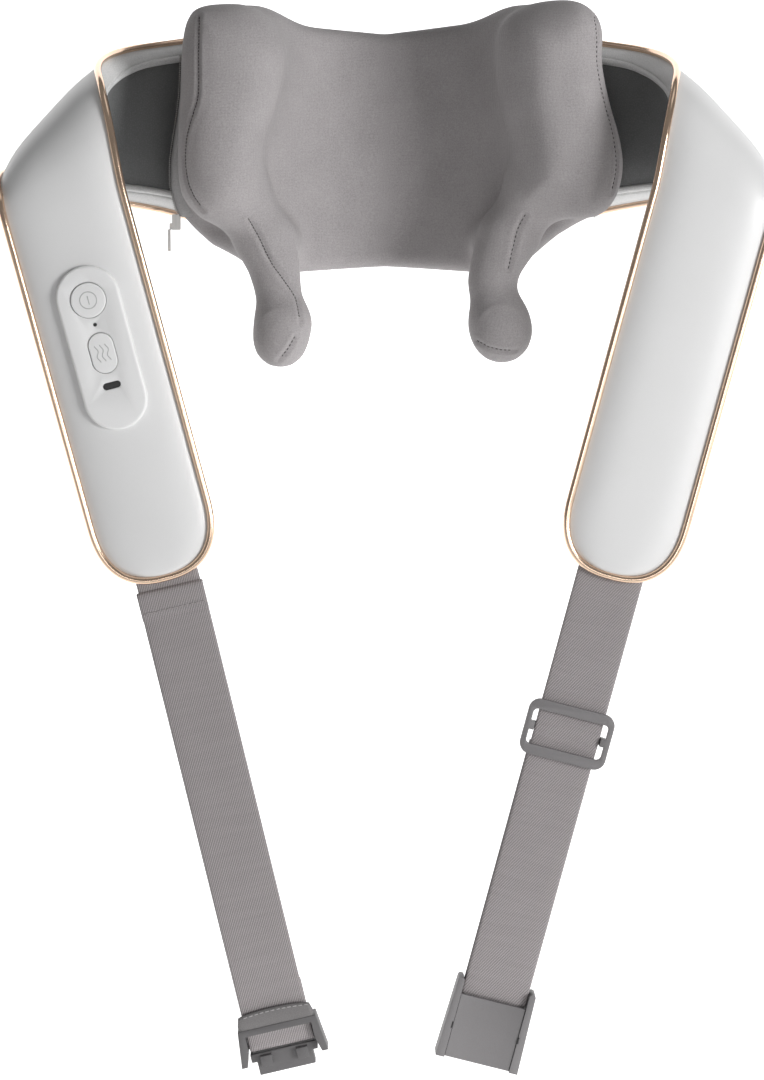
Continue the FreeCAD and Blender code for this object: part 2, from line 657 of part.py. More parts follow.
def hung_left(shape):
    """The piece on the left strap, which is turned a little outwards about its fold."""
    turned = left(shape)
    fold = plate_point(STRAP_FOLD_S, 0, STRAP_Q)
    turned.rotate(V(-fold.x, fold.y, fold.z), Y, LEFT_SPLAY_DEG)
    return turned


def straps():
    start = STRAP_FOLD_S + 0.6
    t = STRAP_THICK / 2
    clear = start + 0.8       # its splay lifts one corner towards the tab
    save("strap_left", hung_left(turned_webbing(clear, LEFT_BAR_S, LEFT_BAR_S - 32)))
    save("strap_right", plate_box(start, SLIDER_S - 0.2, STRAP_WIDTH / 2,
                                  STRAP_Q - t, STRAP_Q + t))
    save("strap_loop_right", turned_webbing(SLIDER_S + 0.2, RIGHT_BAR_S, SLIDER_S + 8))
    strap_slider()
    female_buckle()
    male_buckle()


def strap_slider():
    """Three-bar slide: the webbing passes behind the outer bars and over the middle one."""
    front = STRAP_Q - STRAP_THICK / 2 - 2.7
    frame = plate_box(SLIDER_S - 15, SLIDER_S + 15, 23.2, front, front + 2.4)
    frame = rounded(frame, 6.0, 2.4)
    frame = frame.cut(rounded(plate_box(SLIDER_S - 9.6, SLIDER_S + 9.6, 20.4,
                                        front - 1, front + 4), 2.5, 5.0))
    bar_q = STRAP_Q + STRAP_THICK / 2 + 0.2
    for a in (-19.4, 19.4):
        frame = frame.fuse(plate_box(SLIDER_S - 2.1, SLIDER_S + 2.1, 1.4,
                                     front, bar_q + 1.6, a))
    frame = frame.fuse(plate_box(SLIDER_S - 2.1, SLIDER_S + 2.1, 20.8, bar_q, bar_q + 1.6))
    save("strap_slider", one(frame))


def female_buckle():
    """Open channel that takes the hook plate from below, behind a flat cover."""
    top = RIGHT_BAR_S - 6.9
    end = top + 44.6
    body = plate_box(top + 8.9, end - 0.6, 18.0, STRAP_Q - 3.6, STRAP_Q - 1.2)
    for side in (-1, 1):
        rail = [plate_point(top, 17.9 * side, STRAP_Q - 4.4),
                plate_point(top, 21.2 * side, STRAP_Q - 4.4),
                plate_point(end, 22.6 * side, STRAP_Q - 4.4),
                plate_point(end, 17.9 * side, STRAP_Q - 4.4)]
        rail = prism(rail, V(0, 11.4, 0))
        upper = [e for e in rail.Edges if abs(e.BoundBox.YLength - 11.4) < 1e-3
                 and e.BoundBox.ZMin > plate_point(top + 3, 22 * side, 0).z]
        body = body.fuse(rail.makeFillet(1.6, upper))
    body = body.fuse(plate_box(top + 14, end, 18, STRAP_Q + 5.2, STRAP_Q + 7.0))
    body = body.fuse(cross_rod(BAR_RADIUS, RIGHT_BAR_S, 18.4, bar_depth()))
    save("female_buckle", one(body))
    save("female_magnet", plate_box(top + 24, top + 36, 6, STRAP_Q + 3.6, STRAP_Q + 5.2))


def male_buckle():
    """Bracket with its bar, hook plate behind it, and the stitched pull tab."""
    top = LEFT_BAR_S - 10.5
    front = STRAP_Q - STRAP_THICK / 2 - 3.3
    frame = plate_box(top, top + 3.4, 21.3, front, front + 2.6)
    for side in (-1, 1):
        flange = [plate_point(top, 18.1 * side, front),
                  plate_point(top, 21.3 * side, front),
                  plate_point(top + 20, 23.6 * side, front),
                  plate_point(top + 20, 20.4 * side, front),
                  plate_point(top + 12, 18.1 * side, front)]
        frame = frame.fuse(prism(flange, V(0, 12.3, 0)))
    frame = frame.fuse(cross_rod(BAR_RADIUS, LEFT_BAR_S, 18.6, bar_depth()))
    save("male_frame", hung_left(one(frame)))

    plate_q = bar_depth() + BAR_RADIUS + STRAP_THICK + 0.3
    front_q = STRAP_Q + 0.2
    plate = plate_box(LEFT_BAR_S + 3.2, LEFT_BAR_S + 9, 18.1, plate_q, plate_q + 1.6)
    plate = plate.fuse(plate_box(LEFT_BAR_S + 4.4, LEFT_BAR_S + 9, 18.1, front_q, plate_q))
    plate = plate.fuse(plate_box(LEFT_BAR_S + 9, LEFT_BAR_S + 16.5, 15.2, front_q, plate_q + 1.6))
    for a in (-9.8, 9.8):
        lug = plate_box(LEFT_BAR_S + 5.6, LEFT_BAR_S + 11.6, 3.2, STRAP_Q - 2.8, STRAP_Q + 0.2, a)
        plate = plate.fuse(lug)
    save("hook_plate", hung_left(one(plate)))

    back = STRAP_Q - STRAP_THICK / 2
    tab = rounded(plate_box(top - 8.2, top - 0.1, 20.6, front + 2.6, back), 3.0, back - front - 2.6)
    tab = one(tab.fuse(plate_box(top - 1, top + 2.6, 17.9, front + 2.6, back)))
    save("buckle_pull_tab", hung_left(tab))


os.makedirs("parts", exist_ok=True)
arms()
gearbox()
heads()
cover()
straps()
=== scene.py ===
import json
import math

import bmesh
import bpy
import numpy as np
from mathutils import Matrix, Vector
from mathutils.kdtree import KDTree

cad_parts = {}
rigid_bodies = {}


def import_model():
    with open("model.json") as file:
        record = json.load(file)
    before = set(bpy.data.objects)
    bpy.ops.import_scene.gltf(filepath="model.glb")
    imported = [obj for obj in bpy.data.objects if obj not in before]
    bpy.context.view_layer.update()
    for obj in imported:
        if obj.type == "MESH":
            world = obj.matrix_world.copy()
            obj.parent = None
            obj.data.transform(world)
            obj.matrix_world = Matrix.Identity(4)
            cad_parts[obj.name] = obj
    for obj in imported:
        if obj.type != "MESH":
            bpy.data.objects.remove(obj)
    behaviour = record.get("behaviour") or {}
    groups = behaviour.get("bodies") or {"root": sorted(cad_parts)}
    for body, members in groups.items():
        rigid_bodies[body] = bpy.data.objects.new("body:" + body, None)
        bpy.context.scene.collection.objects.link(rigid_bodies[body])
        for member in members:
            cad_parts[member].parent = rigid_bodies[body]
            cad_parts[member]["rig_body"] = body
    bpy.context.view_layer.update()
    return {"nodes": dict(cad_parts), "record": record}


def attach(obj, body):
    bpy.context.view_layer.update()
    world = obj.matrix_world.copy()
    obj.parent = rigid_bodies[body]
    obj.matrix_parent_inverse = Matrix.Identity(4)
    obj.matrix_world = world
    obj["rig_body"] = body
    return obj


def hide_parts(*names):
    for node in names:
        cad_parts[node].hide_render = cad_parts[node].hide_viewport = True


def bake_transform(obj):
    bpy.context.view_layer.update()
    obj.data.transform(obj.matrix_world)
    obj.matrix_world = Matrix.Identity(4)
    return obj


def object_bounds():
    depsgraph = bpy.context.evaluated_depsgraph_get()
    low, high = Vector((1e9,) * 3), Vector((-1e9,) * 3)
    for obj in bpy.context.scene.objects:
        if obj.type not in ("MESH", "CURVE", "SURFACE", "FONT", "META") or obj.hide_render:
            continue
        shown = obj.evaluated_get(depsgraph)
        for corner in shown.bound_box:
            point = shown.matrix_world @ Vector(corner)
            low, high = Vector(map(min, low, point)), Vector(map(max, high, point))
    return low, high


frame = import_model()
MM = 0.001
SIGN = {"right": 1, "left": -1}

# ---------------- the band's surface (mm)
# Pairs of points on the band's inner and outer edge, from the middle of the back to the right chest plate.
BAND_EDGES = [
    ((0, 36, 59), (0, 36, -56)),
    ((45, 33, 61), (45, 33, -54)),
    ((85, 21, 61), (85, 21, -44)),
    ((122, 1, 56), (122, 1, -33)),
    ((140, -18, 52.5), (162, -17, -25)),
    ((149, -40, 48), (188, -39, -17)),
    ((151, -64, 42), (200, -64, -12)),
    ((147.5, -87, 32), (201.5, -88, -16)),
    ((142.5, -100, 12), (199.5, -100, -23)),
    ((136.2, -104, -20.1), (196.6, -104, -35.9)),
]
FRONT_T = 9.0                     # the band's parameter at the last pair
NEARBY_T, BAND_STEP = 0.02, 0.07  # for slopes, and between cross-sections
PLATE_ROWS, TIP_ROWS, TIP_END = 30, 26, 0.9995
PAST_EDGE = 35                    # the edge curves head this far down the plate
ARM_LENGTH, ARM_HALF_WIDTH, TIP_LENGTH, TIP_POWER = 199.0, 31.2, 36.0, 2.5
LEAN = math.radians(14.7)
DOWN = Vector((-math.sin(LEAN), 0, -math.cos(LEAN)))
ACROSS = Vector((math.cos(LEAN), 0, -math.sin(LEAN)))
# s is a distance down the chest plate from its fold, and q a depth behind the plate's face.
POD_S, POWER_S, HEAT_S, USB_S = 75.0, -25.3, 2.6, 19.8
STRAP_WIDTH, STRAP_THICK, STRAP_Q, FOLD_S = 35.0, 1.8, 4.1, 202.6
LEFT_BAR_S, SLIDER_S, RIGHT_BAR_S, BAR_RADIUS = 456.5, 286.0, 433.9, 1.7
LEFT_SPLAY = math.radians(1.6)
INNER = [Vector(a) for a, b in BAND_EDGES]
OUTER = [Vector(b) for a, b in BAND_EDGES]
PLATE_MIDDLE = (INNER[-1] + OUTER[-1]) * 0.5


def catmull(points, t):
    i = min(int(t), len(points) - 2)
    f = t - i
    p1, p2 = points[i], points[i + 1]
    p0 = points[i - 1] if i else Vector((-p2.x, p2.y, p2.z))
    p3 = points[i + 2] if i + 2 < len(points) else p2 + DOWN * PAST_EDGE
    return (p1 * 2 + (p2 - p0) * f + (p0 * 2 - p1 * 5 + p2 * 4 - p3) * f**2
            + (p1 * 3 - p0 - p2 * 3 + p3) * f**3) * 0.5


def plate_point(s, across, q):
    return PLATE_MIDDLE + DOWN * s + ACROSS * across + Vector((0, q, 0))


class Station:
    """One cross-section of the right half of the band or chest plate."""

    def __init__(self, kind, value):
        self.kind, self.value = kind, value
        if kind == "band":
            t = value
            self.a, self.b = catmull(INNER, t), catmull(OUTER, t)
            after = min(t + NEARBY_T, FRONT_T)
            before = after - 2 * NEARBY_T
            self.normal = Vector((0, 1, 0))
            if before > 0:
                ahead = catmull(INNER, after) + catmull(OUTER, after)
                behind = catmull(INNER, before) + catmull(OUTER, before)
                self.normal = (ahead - behind).cross(self.b - self.a).normalized()

    def point(self, side, inset, q):
        """side runs from -1 at the inner edge to 1 at the outer edge, inset from both."""
        if self.kind == "band":
            along = (self.b - self.a).normalized()
            half = (self.b - self.a).length / 2 - inset
            return (self.a + self.b) * 0.5 + along * (half * side) - self.normal * q
        if self.kind == "tip":
            angle = self.value
            s = ARM_LENGTH - TIP_LENGTH + (TIP_LENGTH - inset) * math.sin(angle) ** (2 / TIP_POWER)
            half = (ARM_HALF_WIDTH - inset) * max(0.0, math.cos(angle)) ** (2 / TIP_POWER)
            return plate_point(s, half * side, q)
        return plate_point(self.value, (ARM_HALF_WIDTH - inset) * side, q)


def right_stations():
    count = int(FRONT_T / BAND_STEP) + 1
    found = [Station("band", FRONT_T * i / count) for i in range(count + 1)]
    straight = ARM_LENGTH - TIP_LENGTH
    found += [Station("plate", straight * i / PLATE_ROWS) for i in range(1, PLATE_ROWS + 1)]
    found += [Station("tip", math.pi / 2 * i / TIP_ROWS) for i in range(1, TIP_ROWS)]
    found.append(Station("tip", math.pi / 2 * TIP_END))
    return found


# ---------------- mesh helpers
def linked(name, data):
    """A new object in the scene."""
    obj = bpy.data.objects.new(name, data)
    bpy.context.scene.collection.objects.link(obj)
    return obj


def new_object(name, co, faces, uv=None):
    """co in mm. uv holds one pair for each corner of each face, in metres."""
    mesh = bpy.data.meshes.new(name)
    mesh.from_pydata([tuple(c * MM for c in p) for p in co], [], faces)
    if uv is not None:
        layer = mesh.uv_layers.new(name="UVMap")
        layer.data.foreach_set("uv", np.array(uv, np.float32).ravel())
    mesh.validate()
    mesh.polygons.foreach_set("use_smooth", [True] * len(mesh.polygons))
    mesh.update()
    return linked(name, mesh)


def skin(name, rows, **more):
    return new_object(name, *skin_data(rows, **more))


def skins(name, many, **more):
    """One object from several strips or tubes, each a list of rows."""
    co, faces, uv = [], [], []
    for rows in many:
        c, f, t = skin_data(rows, **more)
        faces += [[i + len(co) for i in face] for face in f]
        co += c
        uv += t
    return new_object(name, co, faces, uv)


def skin_data(rows, closed=False, caps=False, flip=False):
    """Quads through rows of points. The UV runs along the rows and across them, in metres."""
    count = len(rows[0])
    co = [p for row in rows for p in row]
    mid = count // 2
    v = [0.0]
    for r0, r1 in zip(rows, rows[1:]):
        v.append(v[-1] + (Vector(r1[mid]) - Vector(r0[mid])).length)
    widest = max(rows, key=lambda row: (Vector(row[0]) - Vector(row[mid])).length)
    u = [0.0]
    for i in range(count):
        u.append(u[-1] + (Vector(widest[(i + 1) % count]) - Vector(widest[i])).length)
    faces, uv = [], []
    for r in range(len(rows) - 1):
        for i in range(count if closed else count - 1):
            j = (i + 1) % count
            face = [r * count + i, r * count + j, (r + 1) * count + j, (r + 1) * count + i]
            corner = [(u[i], v[r]), (u[i + 1], v[r]), (u[i + 1], v[r + 1]), (u[i], v[r + 1])]
            if flip:
                face.reverse()
                corner.reverse()
            faces.append(face)
            uv += [(a * MM, b * MM) for a, b in corner]
    if caps:
        for start, order in ((0, -1), ((len(rows) - 1) * count, 1)):
            ring = list(range(start, start + count))[::order]
            faces.append(ring if not flip else ring[::-1])
            uv += [(0.0, 0.0)] * count
    return co, faces, uv


def mirrored(rows):
    return [[Vector((-p[0], p[1], p[2])) for p in row] for row in rows]


def both(name, rows, **more):
    """The strip on the right side, and its mirror image on the left."""
    right = skin(name + "_right", rows, **more)
    more["flip"] = not more.get("flip", False)
    return right, skin(name + "_left", mirrored(rows), **more)


def tube_rows(points, radius, ring=8, flat=1.0, up=(0.13, 0.97, 0.21)):
    """Rings of points round a line. flat below 1 presses the tube flat, and up sets which way."""
    rows = []
    for i, p in enumerate(points):
        ahead = Vector(points[min(i + 1, len(points) - 1)]) - Vector(points[max(i - 1, 0)])
        ahead.normalize()
        side = ahead.cross(Vector(up))
        side.normalize()
        other = side.cross(ahead).normalized()
        rows.append([Vector(p) + side * (radius * math.cos(a)) + other * (radius * flat * math.sin(a))
                     for a in (2 * math.pi * k / ring for k in range(ring))])
    return rows


def apply_modifiers(obj):
    bpy.context.view_layer.update()
    evaluated = obj.evaluated_get(bpy.context.evaluated_depsgraph_get())
    mesh = bpy.data.meshes.new_from_object(evaluated)
    obj.modifiers.clear()
    old = obj.data
    obj.data = mesh
    bpy.data.meshes.remove(old)
    mesh.name = obj.name
    return obj


SAME_POINT = 1e-6                 # metres
FLAT_ANGLE, BEVEL_ANGLE, SHARP_ANGLE = math.radians(1.0), math.radians(28), math.radians(32)


def softened(node, name, width):
    """A copy of a hard CAD piece whose sharp edges are eased by width mm, standing for the node."""
    source = frame["nodes"][node]
    mesh = source.data.copy()
    bm = bmesh.new()
    bm.from_mesh(mesh)
    bmesh.ops.remove_doubles(bm, verts=bm.verts, dist=SAME_POINT)
    bmesh.ops.dissolve_limit(bm, angle_limit=FLAT_ANGLE, verts=bm.verts, edges=bm.edges)
    bm.to_mesh(mesh)
    bm.free()
    mesh.name = name
    obj = linked(name, mesh)
    bevel = obj.modifiers.new("bevel", "BEVEL")
    bevel.width = width * MM
    bevel.segments = 2
    bevel.limit_method = "ANGLE"
    bevel.angle_limit = BEVEL_ANGLE
    apply_modifiers(obj)
    mesh = obj.data
    mesh.materials.clear()
    bm = bmesh.new()
    bm.from_mesh(mesh)
    for face in bm.faces:
        face.smooth = True
    for edge in bm.edges:
        edge.smooth = len(edge.link_faces) == 2 and edge.calc_face_angle(0) < SHARP_ANGLE
    bm.to_mesh(mesh)
    bm.free()
    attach(obj, source["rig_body"])
    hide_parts(node)
    return obj


# ---------------- materials
BAND_REPEAT = 0.31416             # the wave texture's period at scale 1
KNIT_ROW, KNIT_RIB = 0.00075, 0.0007                 # metres
TWILL_LINE, TWILL_LEAN = 0.00118, math.radians(30)
YARN_ACROSS, YARN_ALONG = 0.0009, 0.0011
MAT = {}                          # every material made here, by name


class Nodes:
    """A material's node tree, with a little help to build it."""

    def __init__(self, name, colour, roughness, metallic=0.0, **values):
        self.material = MAT[name] = bpy.data.materials.new(name)
        self.material.use_nodes = True
        self.tree = self.material.node_tree
        self.shader = self.tree.nodes["Principled BSDF"]
        self.material.diffuse_color = (*colour, 1)
        self.shader.inputs["Base Color"].default_value = (*colour, 1)
        self.shader.inputs["Roughness"].default_value = roughness
        self.shader.inputs["Metallic"].default_value = metallic
        for key, value in values.items():
            self.shader.inputs[key.replace("_", " ")].default_value = value

    def add(self, kind, settings=None, **inputs):
        node = self.tree.nodes.new(kind)
        for key, value in (settings or {}).items():
            setattr(node, key, value)
        for key, value in inputs.items():
            by_number = key[0] == "i" and key[1:].isdigit()
            socket = node.inputs[int(key[1:]) if by_number else key.replace("_", " ")]
            if isinstance(value, bpy.types.NodeSocket):
                self.tree.links.new(value, socket)
            else:
                socket.default_value = value
        return node

    def coord(self, kind="Object"):
        return self.add("ShaderNodeTexCoord").outputs[kind]

    def mapped(self, source, scale=(1, 1, 1), turn=(0, 0, 0)):
        return self.add("ShaderNodeMapping", None, Vector=source, Scale=scale, Rotation=turn).outputs[0]

    def noise(self, source, scale, detail=2.0, rough=0.5):
        return self.add("ShaderNodeTexNoise", None, Vector=source, Scale=scale, Detail=detail,
                        Roughness=rough).outputs["Fac"]

    def wave(self, source, period, direction="X", distortion=0.0, detail_scale=1.0, profile="SIN"):
        return self.add("ShaderNodeTexWave",
                        dict(wave_type="BANDS", bands_direction=direction, wave_profile=profile),
                        Vector=source, Scale=BAND_REPEAT / period, Distortion=distortion,
                        Detail_Scale=detail_scale).outputs["Fac"]

    def math(self, operation, a, b=0.5):
        return self.add("ShaderNodeMath", dict(operation=operation), i0=a, i1=b).outputs[0]

    def ramp(self, value, low, high, a=0.0, b=1.0):
        node = self.add("ShaderNodeValToRGB", None, Fac=value)
        first, last = node.color_ramp.elements
        first.position, last.position = a, b
        first.color, last.color = (*low, 1), (*high, 1)
        return node.outputs[0]

    def span(self, value, low, high):
        return self.add("ShaderNodeMapRange", None, Value=value, To_Min=low, To_Max=high).outputs[0]

    def colour(self, socket):
        self.tree.links.new(socket, self.shader.inputs["Base Color"])

    def rough(self, socket):
        self.tree.links.new(socket, self.shader.inputs["Roughness"])

    def bump(self, height, distance, strength=1.0):
        before = self.shader.inputs["Normal"].links
        node = self.add("ShaderNodeBump", None, Height=height, Distance=distance * MM, Strength=strength)
        if before:
            self.tree.links.new(before[0].from_socket, node.inputs["Normal"])
        self.tree.links.new(node.outputs[0], self.shader.inputs["Normal"])


def shade(colour, factor):
    return tuple(min(1.0, c * factor) for c in colour)


def knit(name, colour):
    m = Nodes(name, colour, 0.88, Sheen_Weight=0.08, Sheen_Roughness=0.5, Specular_IOR_Level=0.25)
    co = m.coord()
    # Slow noise bends the rows and ribs a little.
    drift = m.add("ShaderNodeTexNoise", None, Vector=co, Scale=35.0).outputs["Color"]
    drift = m.add("ShaderNodeVectorMath", dict(operation="SCALE"), i0=drift, Scale=0.004).outputs[0]
    bent = m.add("ShaderNodeVectorMath", dict(operation="ADD"), i0=co, i1=drift).outputs[0]
    rows = m.wave(bent, KNIT_ROW, "Z", 0.8)
    ribs = m.wave(m.mapped(bent, (1, 0.8, 0.15)), KNIT_RIB, "X", 0.8)
    loops = m.math("MULTIPLY", rows, ribs)
    grain = m.noise(co, 1500, 2.0)
    cloud = m.noise(co, 55, 3.0)
    mix = m.math("ADD", m.math("MULTIPLY", loops, 0.2), m.math("MULTIPLY", grain, 0.6))
    mix = m.math("ADD", mix, m.math("MULTIPLY", cloud, 0.2))
    m.colour(m.ramp(mix, shade(colour, 0.74), shade(colour, 1.2), 0.22, 0.68))
    m.rough(m.span(cloud, 0.8, 0.95))
    m.bump(loops, 0.09, 0.6)
    m.bump(grain, 0.05, 0.5)


def twill(name, colour, lean):
    """Webbing with diagonal lines. lean is 1 or -1."""
    m = Nodes(name, colour, 0.78, Sheen_Weight=0.06, Sheen_Roughness=0.4, Specular_IOR_Level=0.3)
    uv = m.coord("UV")
    diagonal = m.wave(m.mapped(uv, (1, 1, 1), (0, 0, TWILL_LEAN * lean)), TWILL_LINE, "X", 0.6, 3.0)
    across = m.wave(uv, YARN_ACROSS, "Y", 0.3, 4.0)
    along = m.wave(uv, YARN_ALONG, "X", 0.3, 4.0)
    yarn = m.math("MULTIPLY", across, along)
    height = m.math("ADD", m.math("MULTIPLY", diagonal, 0.7), m.math("MULTIPLY", yarn, 0.3))
    fuzz = m.noise(uv, 1700, 2.0)
    slub = m.noise(m.mapped(uv, (30, 400, 1)), 1.0, 3.0)
    mix = m.math("ADD", m.math("MULTIPLY", height, 0.6), m.math("MULTIPLY", fuzz, 0.25))
    mix = m.math("ADD", mix, m.math("MULTIPLY", slub, 0.15))
    m.colour(m.ramp(mix, shade(colour, 0.58), shade(colour, 1.32), 0.15, 0.75))
    m.rough(m.span(fuzz, 0.7, 0.88))
    m.bump(height, 0.14, 0.7)
    m.bump(fuzz, 0.06, 0.5)


def moulded(name, colour, roughness=0.5, grain=0.06, scale=1400.0, vary=0.06, **values):
    """Moulded or coated plastic: fine texture, slight cloudiness and unevenness in its gloss."""
    m = Nodes(name, colour, roughness, **values)
    co = m.coord()
    fine = m.noise(co, scale, 3.0, 0.6)
    cloud = m.noise(co, 18, 3.0)
    m.colour(m.ramp(m.math("ADD", m.math("MULTIPLY", fine, 0.4), m.math("MULTIPLY", cloud, 0.6)),
                    shade(colour, 1 - vary), shade(colour, 1 + vary), 0.3, 0.7))
    m.rough(m.span(cloud, roughness * 0.88, min(1.0, roughness * 1.12)))
    m.bump(fine, grain, 0.5)


def leather(name, colour, roughness, cell, depth):
    """Coated cloth with a grain of small cells, depth mm deep."""
    m = Nodes(name, colour, roughness, Specular_IOR_Level=0.4)
    co = m.coord()
    cells = m.add("ShaderNodeTexVoronoi", dict(feature="DISTANCE_TO_EDGE"), Vector=co, Scale=cell)
    cells = cells.outputs["Distance"]
    grain = m.math("MINIMUM", m.math("MULTIPLY", cells, 4.0), 1.0)
    fine = m.noise(co, 2200, 2.0)
    cloud = m.noise(co, 25, 3.0)
    mix = m.math("ADD", m.math("MULTIPLY", grain, 0.5), m.math("MULTIPLY", cloud, 0.5))
    m.colour(m.ramp(mix, shade(colour, 0.86), shade(colour, 1.1), 0.2, 0.8))
    m.rough(m.span(cloud, roughness * 0.88, min(1.0, roughness * 1.15)))
    m.bump(grain, depth, 0.5)
    m.bump(fine, 0.03, 0.5)


def metal(name, colour, roughness, brushed=True):
    m = Nodes(name, colour, roughness, 1.0)
    co = m.coord()
    streak = m.noise(m.mapped(co, (900, 900, 60) if brushed else (90, 90, 90)), 1.0, 3.0)
    m.colour(m.ramp(streak, shade(colour, 0.94), shade(colour, 1.05), 0.3, 0.7))
    m.rough(m.span(streak, roughness * 0.8, roughness * 1.25))
    m.bump(streak, 0.01, 0.3)


WEB = (0.295, 0.273, 0.276)
moulded("soft_touch", (0.70, 0.70, 0.70), 0.42, grain=0.03, scale=2200.0, vary=0.015, Coat_Weight=0.08)
moulded("pod", (0.76, 0.76, 0.76), 0.38, grain=0.025, scale=2400.0, vary=0.015)
metal("rose_gold", (0.86, 0.64, 0.48), 0.17, brushed=False)
leather("side_wall", (0.70, 0.70, 0.695), 0.48, cell=1100.0, depth=0.05)
leather("dark_lining", (0.17, 0.174, 0.174), 0.38, cell=850.0, depth=0.05)
knit("knit_cover", (0.355, 0.336, 0.339))
knit("zip_tape", (0.42, 0.41, 0.41))
twill("webbing_left", WEB, lean=1.0)
twill("webbing_right", WEB, lean=-1.0)
moulded("buckle_plastic", (0.175, 0.168, 0.171), 0.5, grain=0.10, scale=1500.0, vary=0.08)
# A darker copy of the buckle plastic: painted shade for the hook frame and tongue, whose faces lie in shade.
moulded("hook_plastic", (0.105, 0.101, 0.103), 0.5, grain=0.10, scale=1500.0, vary=0.08)
leather("pull_leather", (0.165, 0.158, 0.158), 0.5, cell=1300.0, depth=0.1)
metal("zip_metal", (0.52, 0.51, 0.50), 0.3)
moulded("inner_plastic", (0.14, 0.14, 0.15), 0.5)
moulded("gear_plastic", (0.75, 0.73, 0.66), 0.4)
metal("steel", (0.62, 0.62, 0.63), 0.28)
metal("bronze", (0.55, 0.40, 0.22), 0.45)
metal("motor_can", (0.50, 0.50, 0.51), 0.35)
moulded("circuit_board", (0.05, 0.22, 0.12), 0.35)
moulded("head_foam", (0.66, 0.64, 0.60), 0.9, grain=0.4, scale=700.0)
moulded("heating_film", (0.30, 0.12, 0.06), 0.4)
moulded("battery_wrap", (0.10, 0.22, 0.45), 0.3)
moulded("ribbon", (0.60, 0.38, 0.18), 0.35)
moulded("lens", (0.03, 0.03, 0.03), 0.2)
metal("magnet", (0.60, 0.60, 0.62), 0.2)
moulded("thread_dark", (0.085, 0.078, 0.078), 0.9)
moulded("thread_light", (0.36, 0.35, 0.35), 0.85)
moulded("thread_grey", (0.30, 0.28, 0.28), 0.85)
moulded("icon_grey", (0.45, 0.45, 0.45), 0.5)
# Black: the charging socket's own black plastic, and painted shade in that socket's mouth and in the buckle's
# gaps and windows.
moulded("socket_black", (0.02, 0.02, 0.02), 0.4)
MAT["webbing"] = MAT["webbing_right"]


def finish(obj, material):
    obj.data.materials.clear()
    obj.data.materials.append(MAT[material])
    return obj


slot_of_node = {p["node"]: p["material_slot"] for p in frame["record"]["subparts"]}
for node, obj in frame["nodes"].items():
    obj.data.materials.clear()
    obj.data.materials.append(MAT[slot_of_node[node]])

# ---------------- padded arms
SHELL_INSET, SHELL_DEPTH, SHELL_CROWN, SHELL_POWER, SHELL_TIP = 1.5, 0.9, 4.9, 3.4, 0.55
LINING_INSET, LINING_DEPTH, LINING_CROWN, LINING_POWER, LINING_TIP = 10.2, 10.8, 1.9, 3, 0.6
TRIM_RADIUS, TRIM_LEAN = 1.9, 0.1


def on_side(point, side):
    return (SIGN[side] * point[0], point[1], point[2])


places = right_stations()
SHELL_HALF = [0.25, 0.45, 0.62, 0.75, 0.85, 0.92, 0.97, 1]
LINING_HALF = [0.2, 0.45, 0.65, 0.8, 0.9, 0.96, 1]


def across_band(half):
    return [-f for f in reversed(half)] + [0] + half


def tip_taper(place, power):
    """Crowned faces flatten out towards the round tip of the arm."""
    return max(0.0, math.cos(place.value)) ** power if place.kind == "tip" else 1.0


def shell_row(place):
    crown = SHELL_CROWN * tip_taper(place, SHELL_TIP)
    return [place.point(f, SHELL_INSET, SHELL_DEPTH - crown * (1 - abs(f) ** SHELL_POWER))
            for f in across_band(SHELL_HALF)]


shells = both("soft_shell", [shell_row(p) for p in places])
edge = [p.point(-1, 0, 0) for p in places[:-1]]
outer_edge = [p.point(1, 0, 0) for p in places[:-1]]
trim_path = edge + [plate_point(ARM_LENGTH, 0, 0)] + outer_edge[::-1]
trims = [skin("trim_" + side, tube_rows([Vector(on_side(p, side)) for p in trim_path], TRIM_RADIUS, 12,
                                        up=(SIGN[side] * TRIM_LEAN, 1, 0)), closed=True)
         for side in ("right", "left")]

# Section of the side wall: (inset, depth) from the trim to inside the piping.
WALL = [(1.0, 0.6), (1.3, 2.0), (1.9, 4.2), (2.9, 6.6), (4.2, 8.9), (5.5, 10.5), (6.3, 11.1),
        (6.7, 11.0), (6.9, 11.3), (6.9, 12.1), (7.4, 12.9), (8.3, 13.3), (9.3, 13.2), (10.0, 12.6),
        (10.3, 11.8), (10.4, 11.0), (10.6, 10.4)]


def wall_rows(side):
    return [[p.point(side, i, q) for i, q in WALL] for p in places]


strips = [wall_rows(-1), [row[::-1] for row in wall_rows(1)]]
wall_right = skins("padding_wall_right", strips, flip=True)
wall_left = skins("padding_wall_left", [mirrored(rows) for rows in strips])


def lining_row(place):
    crown = LINING_CROWN * tip_taper(place, LINING_TIP)
    return [place.point(f, LINING_INSET, LINING_DEPTH + crown * (1 - abs(f) ** LINING_POWER))
            for f in across_band(LINING_HALF)]


linings = both("lining", [lining_row(p) for p in places], flip=True)
for side, pieces in (("right", (shells[0], trims[0], wall_right, linings[0])),
                     ("left", (shells[1], trims[1], wall_left, linings[1]))):
    for piece, material, node in zip(pieces, ("soft_touch", "rose_gold", "side_wall", "dark_lining"),
                                     ("arm_shell_", "arm_trim_", "arm_pad_", "arm_lining_")):
        finish(piece, material)
        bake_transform(piece)
        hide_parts(node + side)
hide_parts("rear_shell")
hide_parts("rear_trim")
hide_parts("rear_rim")

# ---------------- control pod
for node, name, material, width in (
        ("control_pod", "pod_body", "pod", 0.25), ("power_button", "power_key", "pod", 0.2),
        ("heat_button", "heat_key", "pod", 0.2)):
    finish(softened(node, name, width), material)


def left_plate(s, across, q):
    p = plate_point(s, across, q)
    return Vector((-p.x, p.y, p.z))


def hung_left(s, across, q):
    """A point of the left strap, which hangs a little further outwards than its arm."""
    fold, p = left_plate(FOLD_S, 0, STRAP_Q), left_plate(s, across, q)
    x, z = p.x - fold.x, p.z - fold.z
    c, n = math.cos(LEFT_SPLAY), math.sin(LEFT_SPLAY)
    return Vector((fold.x + x * c + z * n, p.y, fold.z - x * n + z * c))


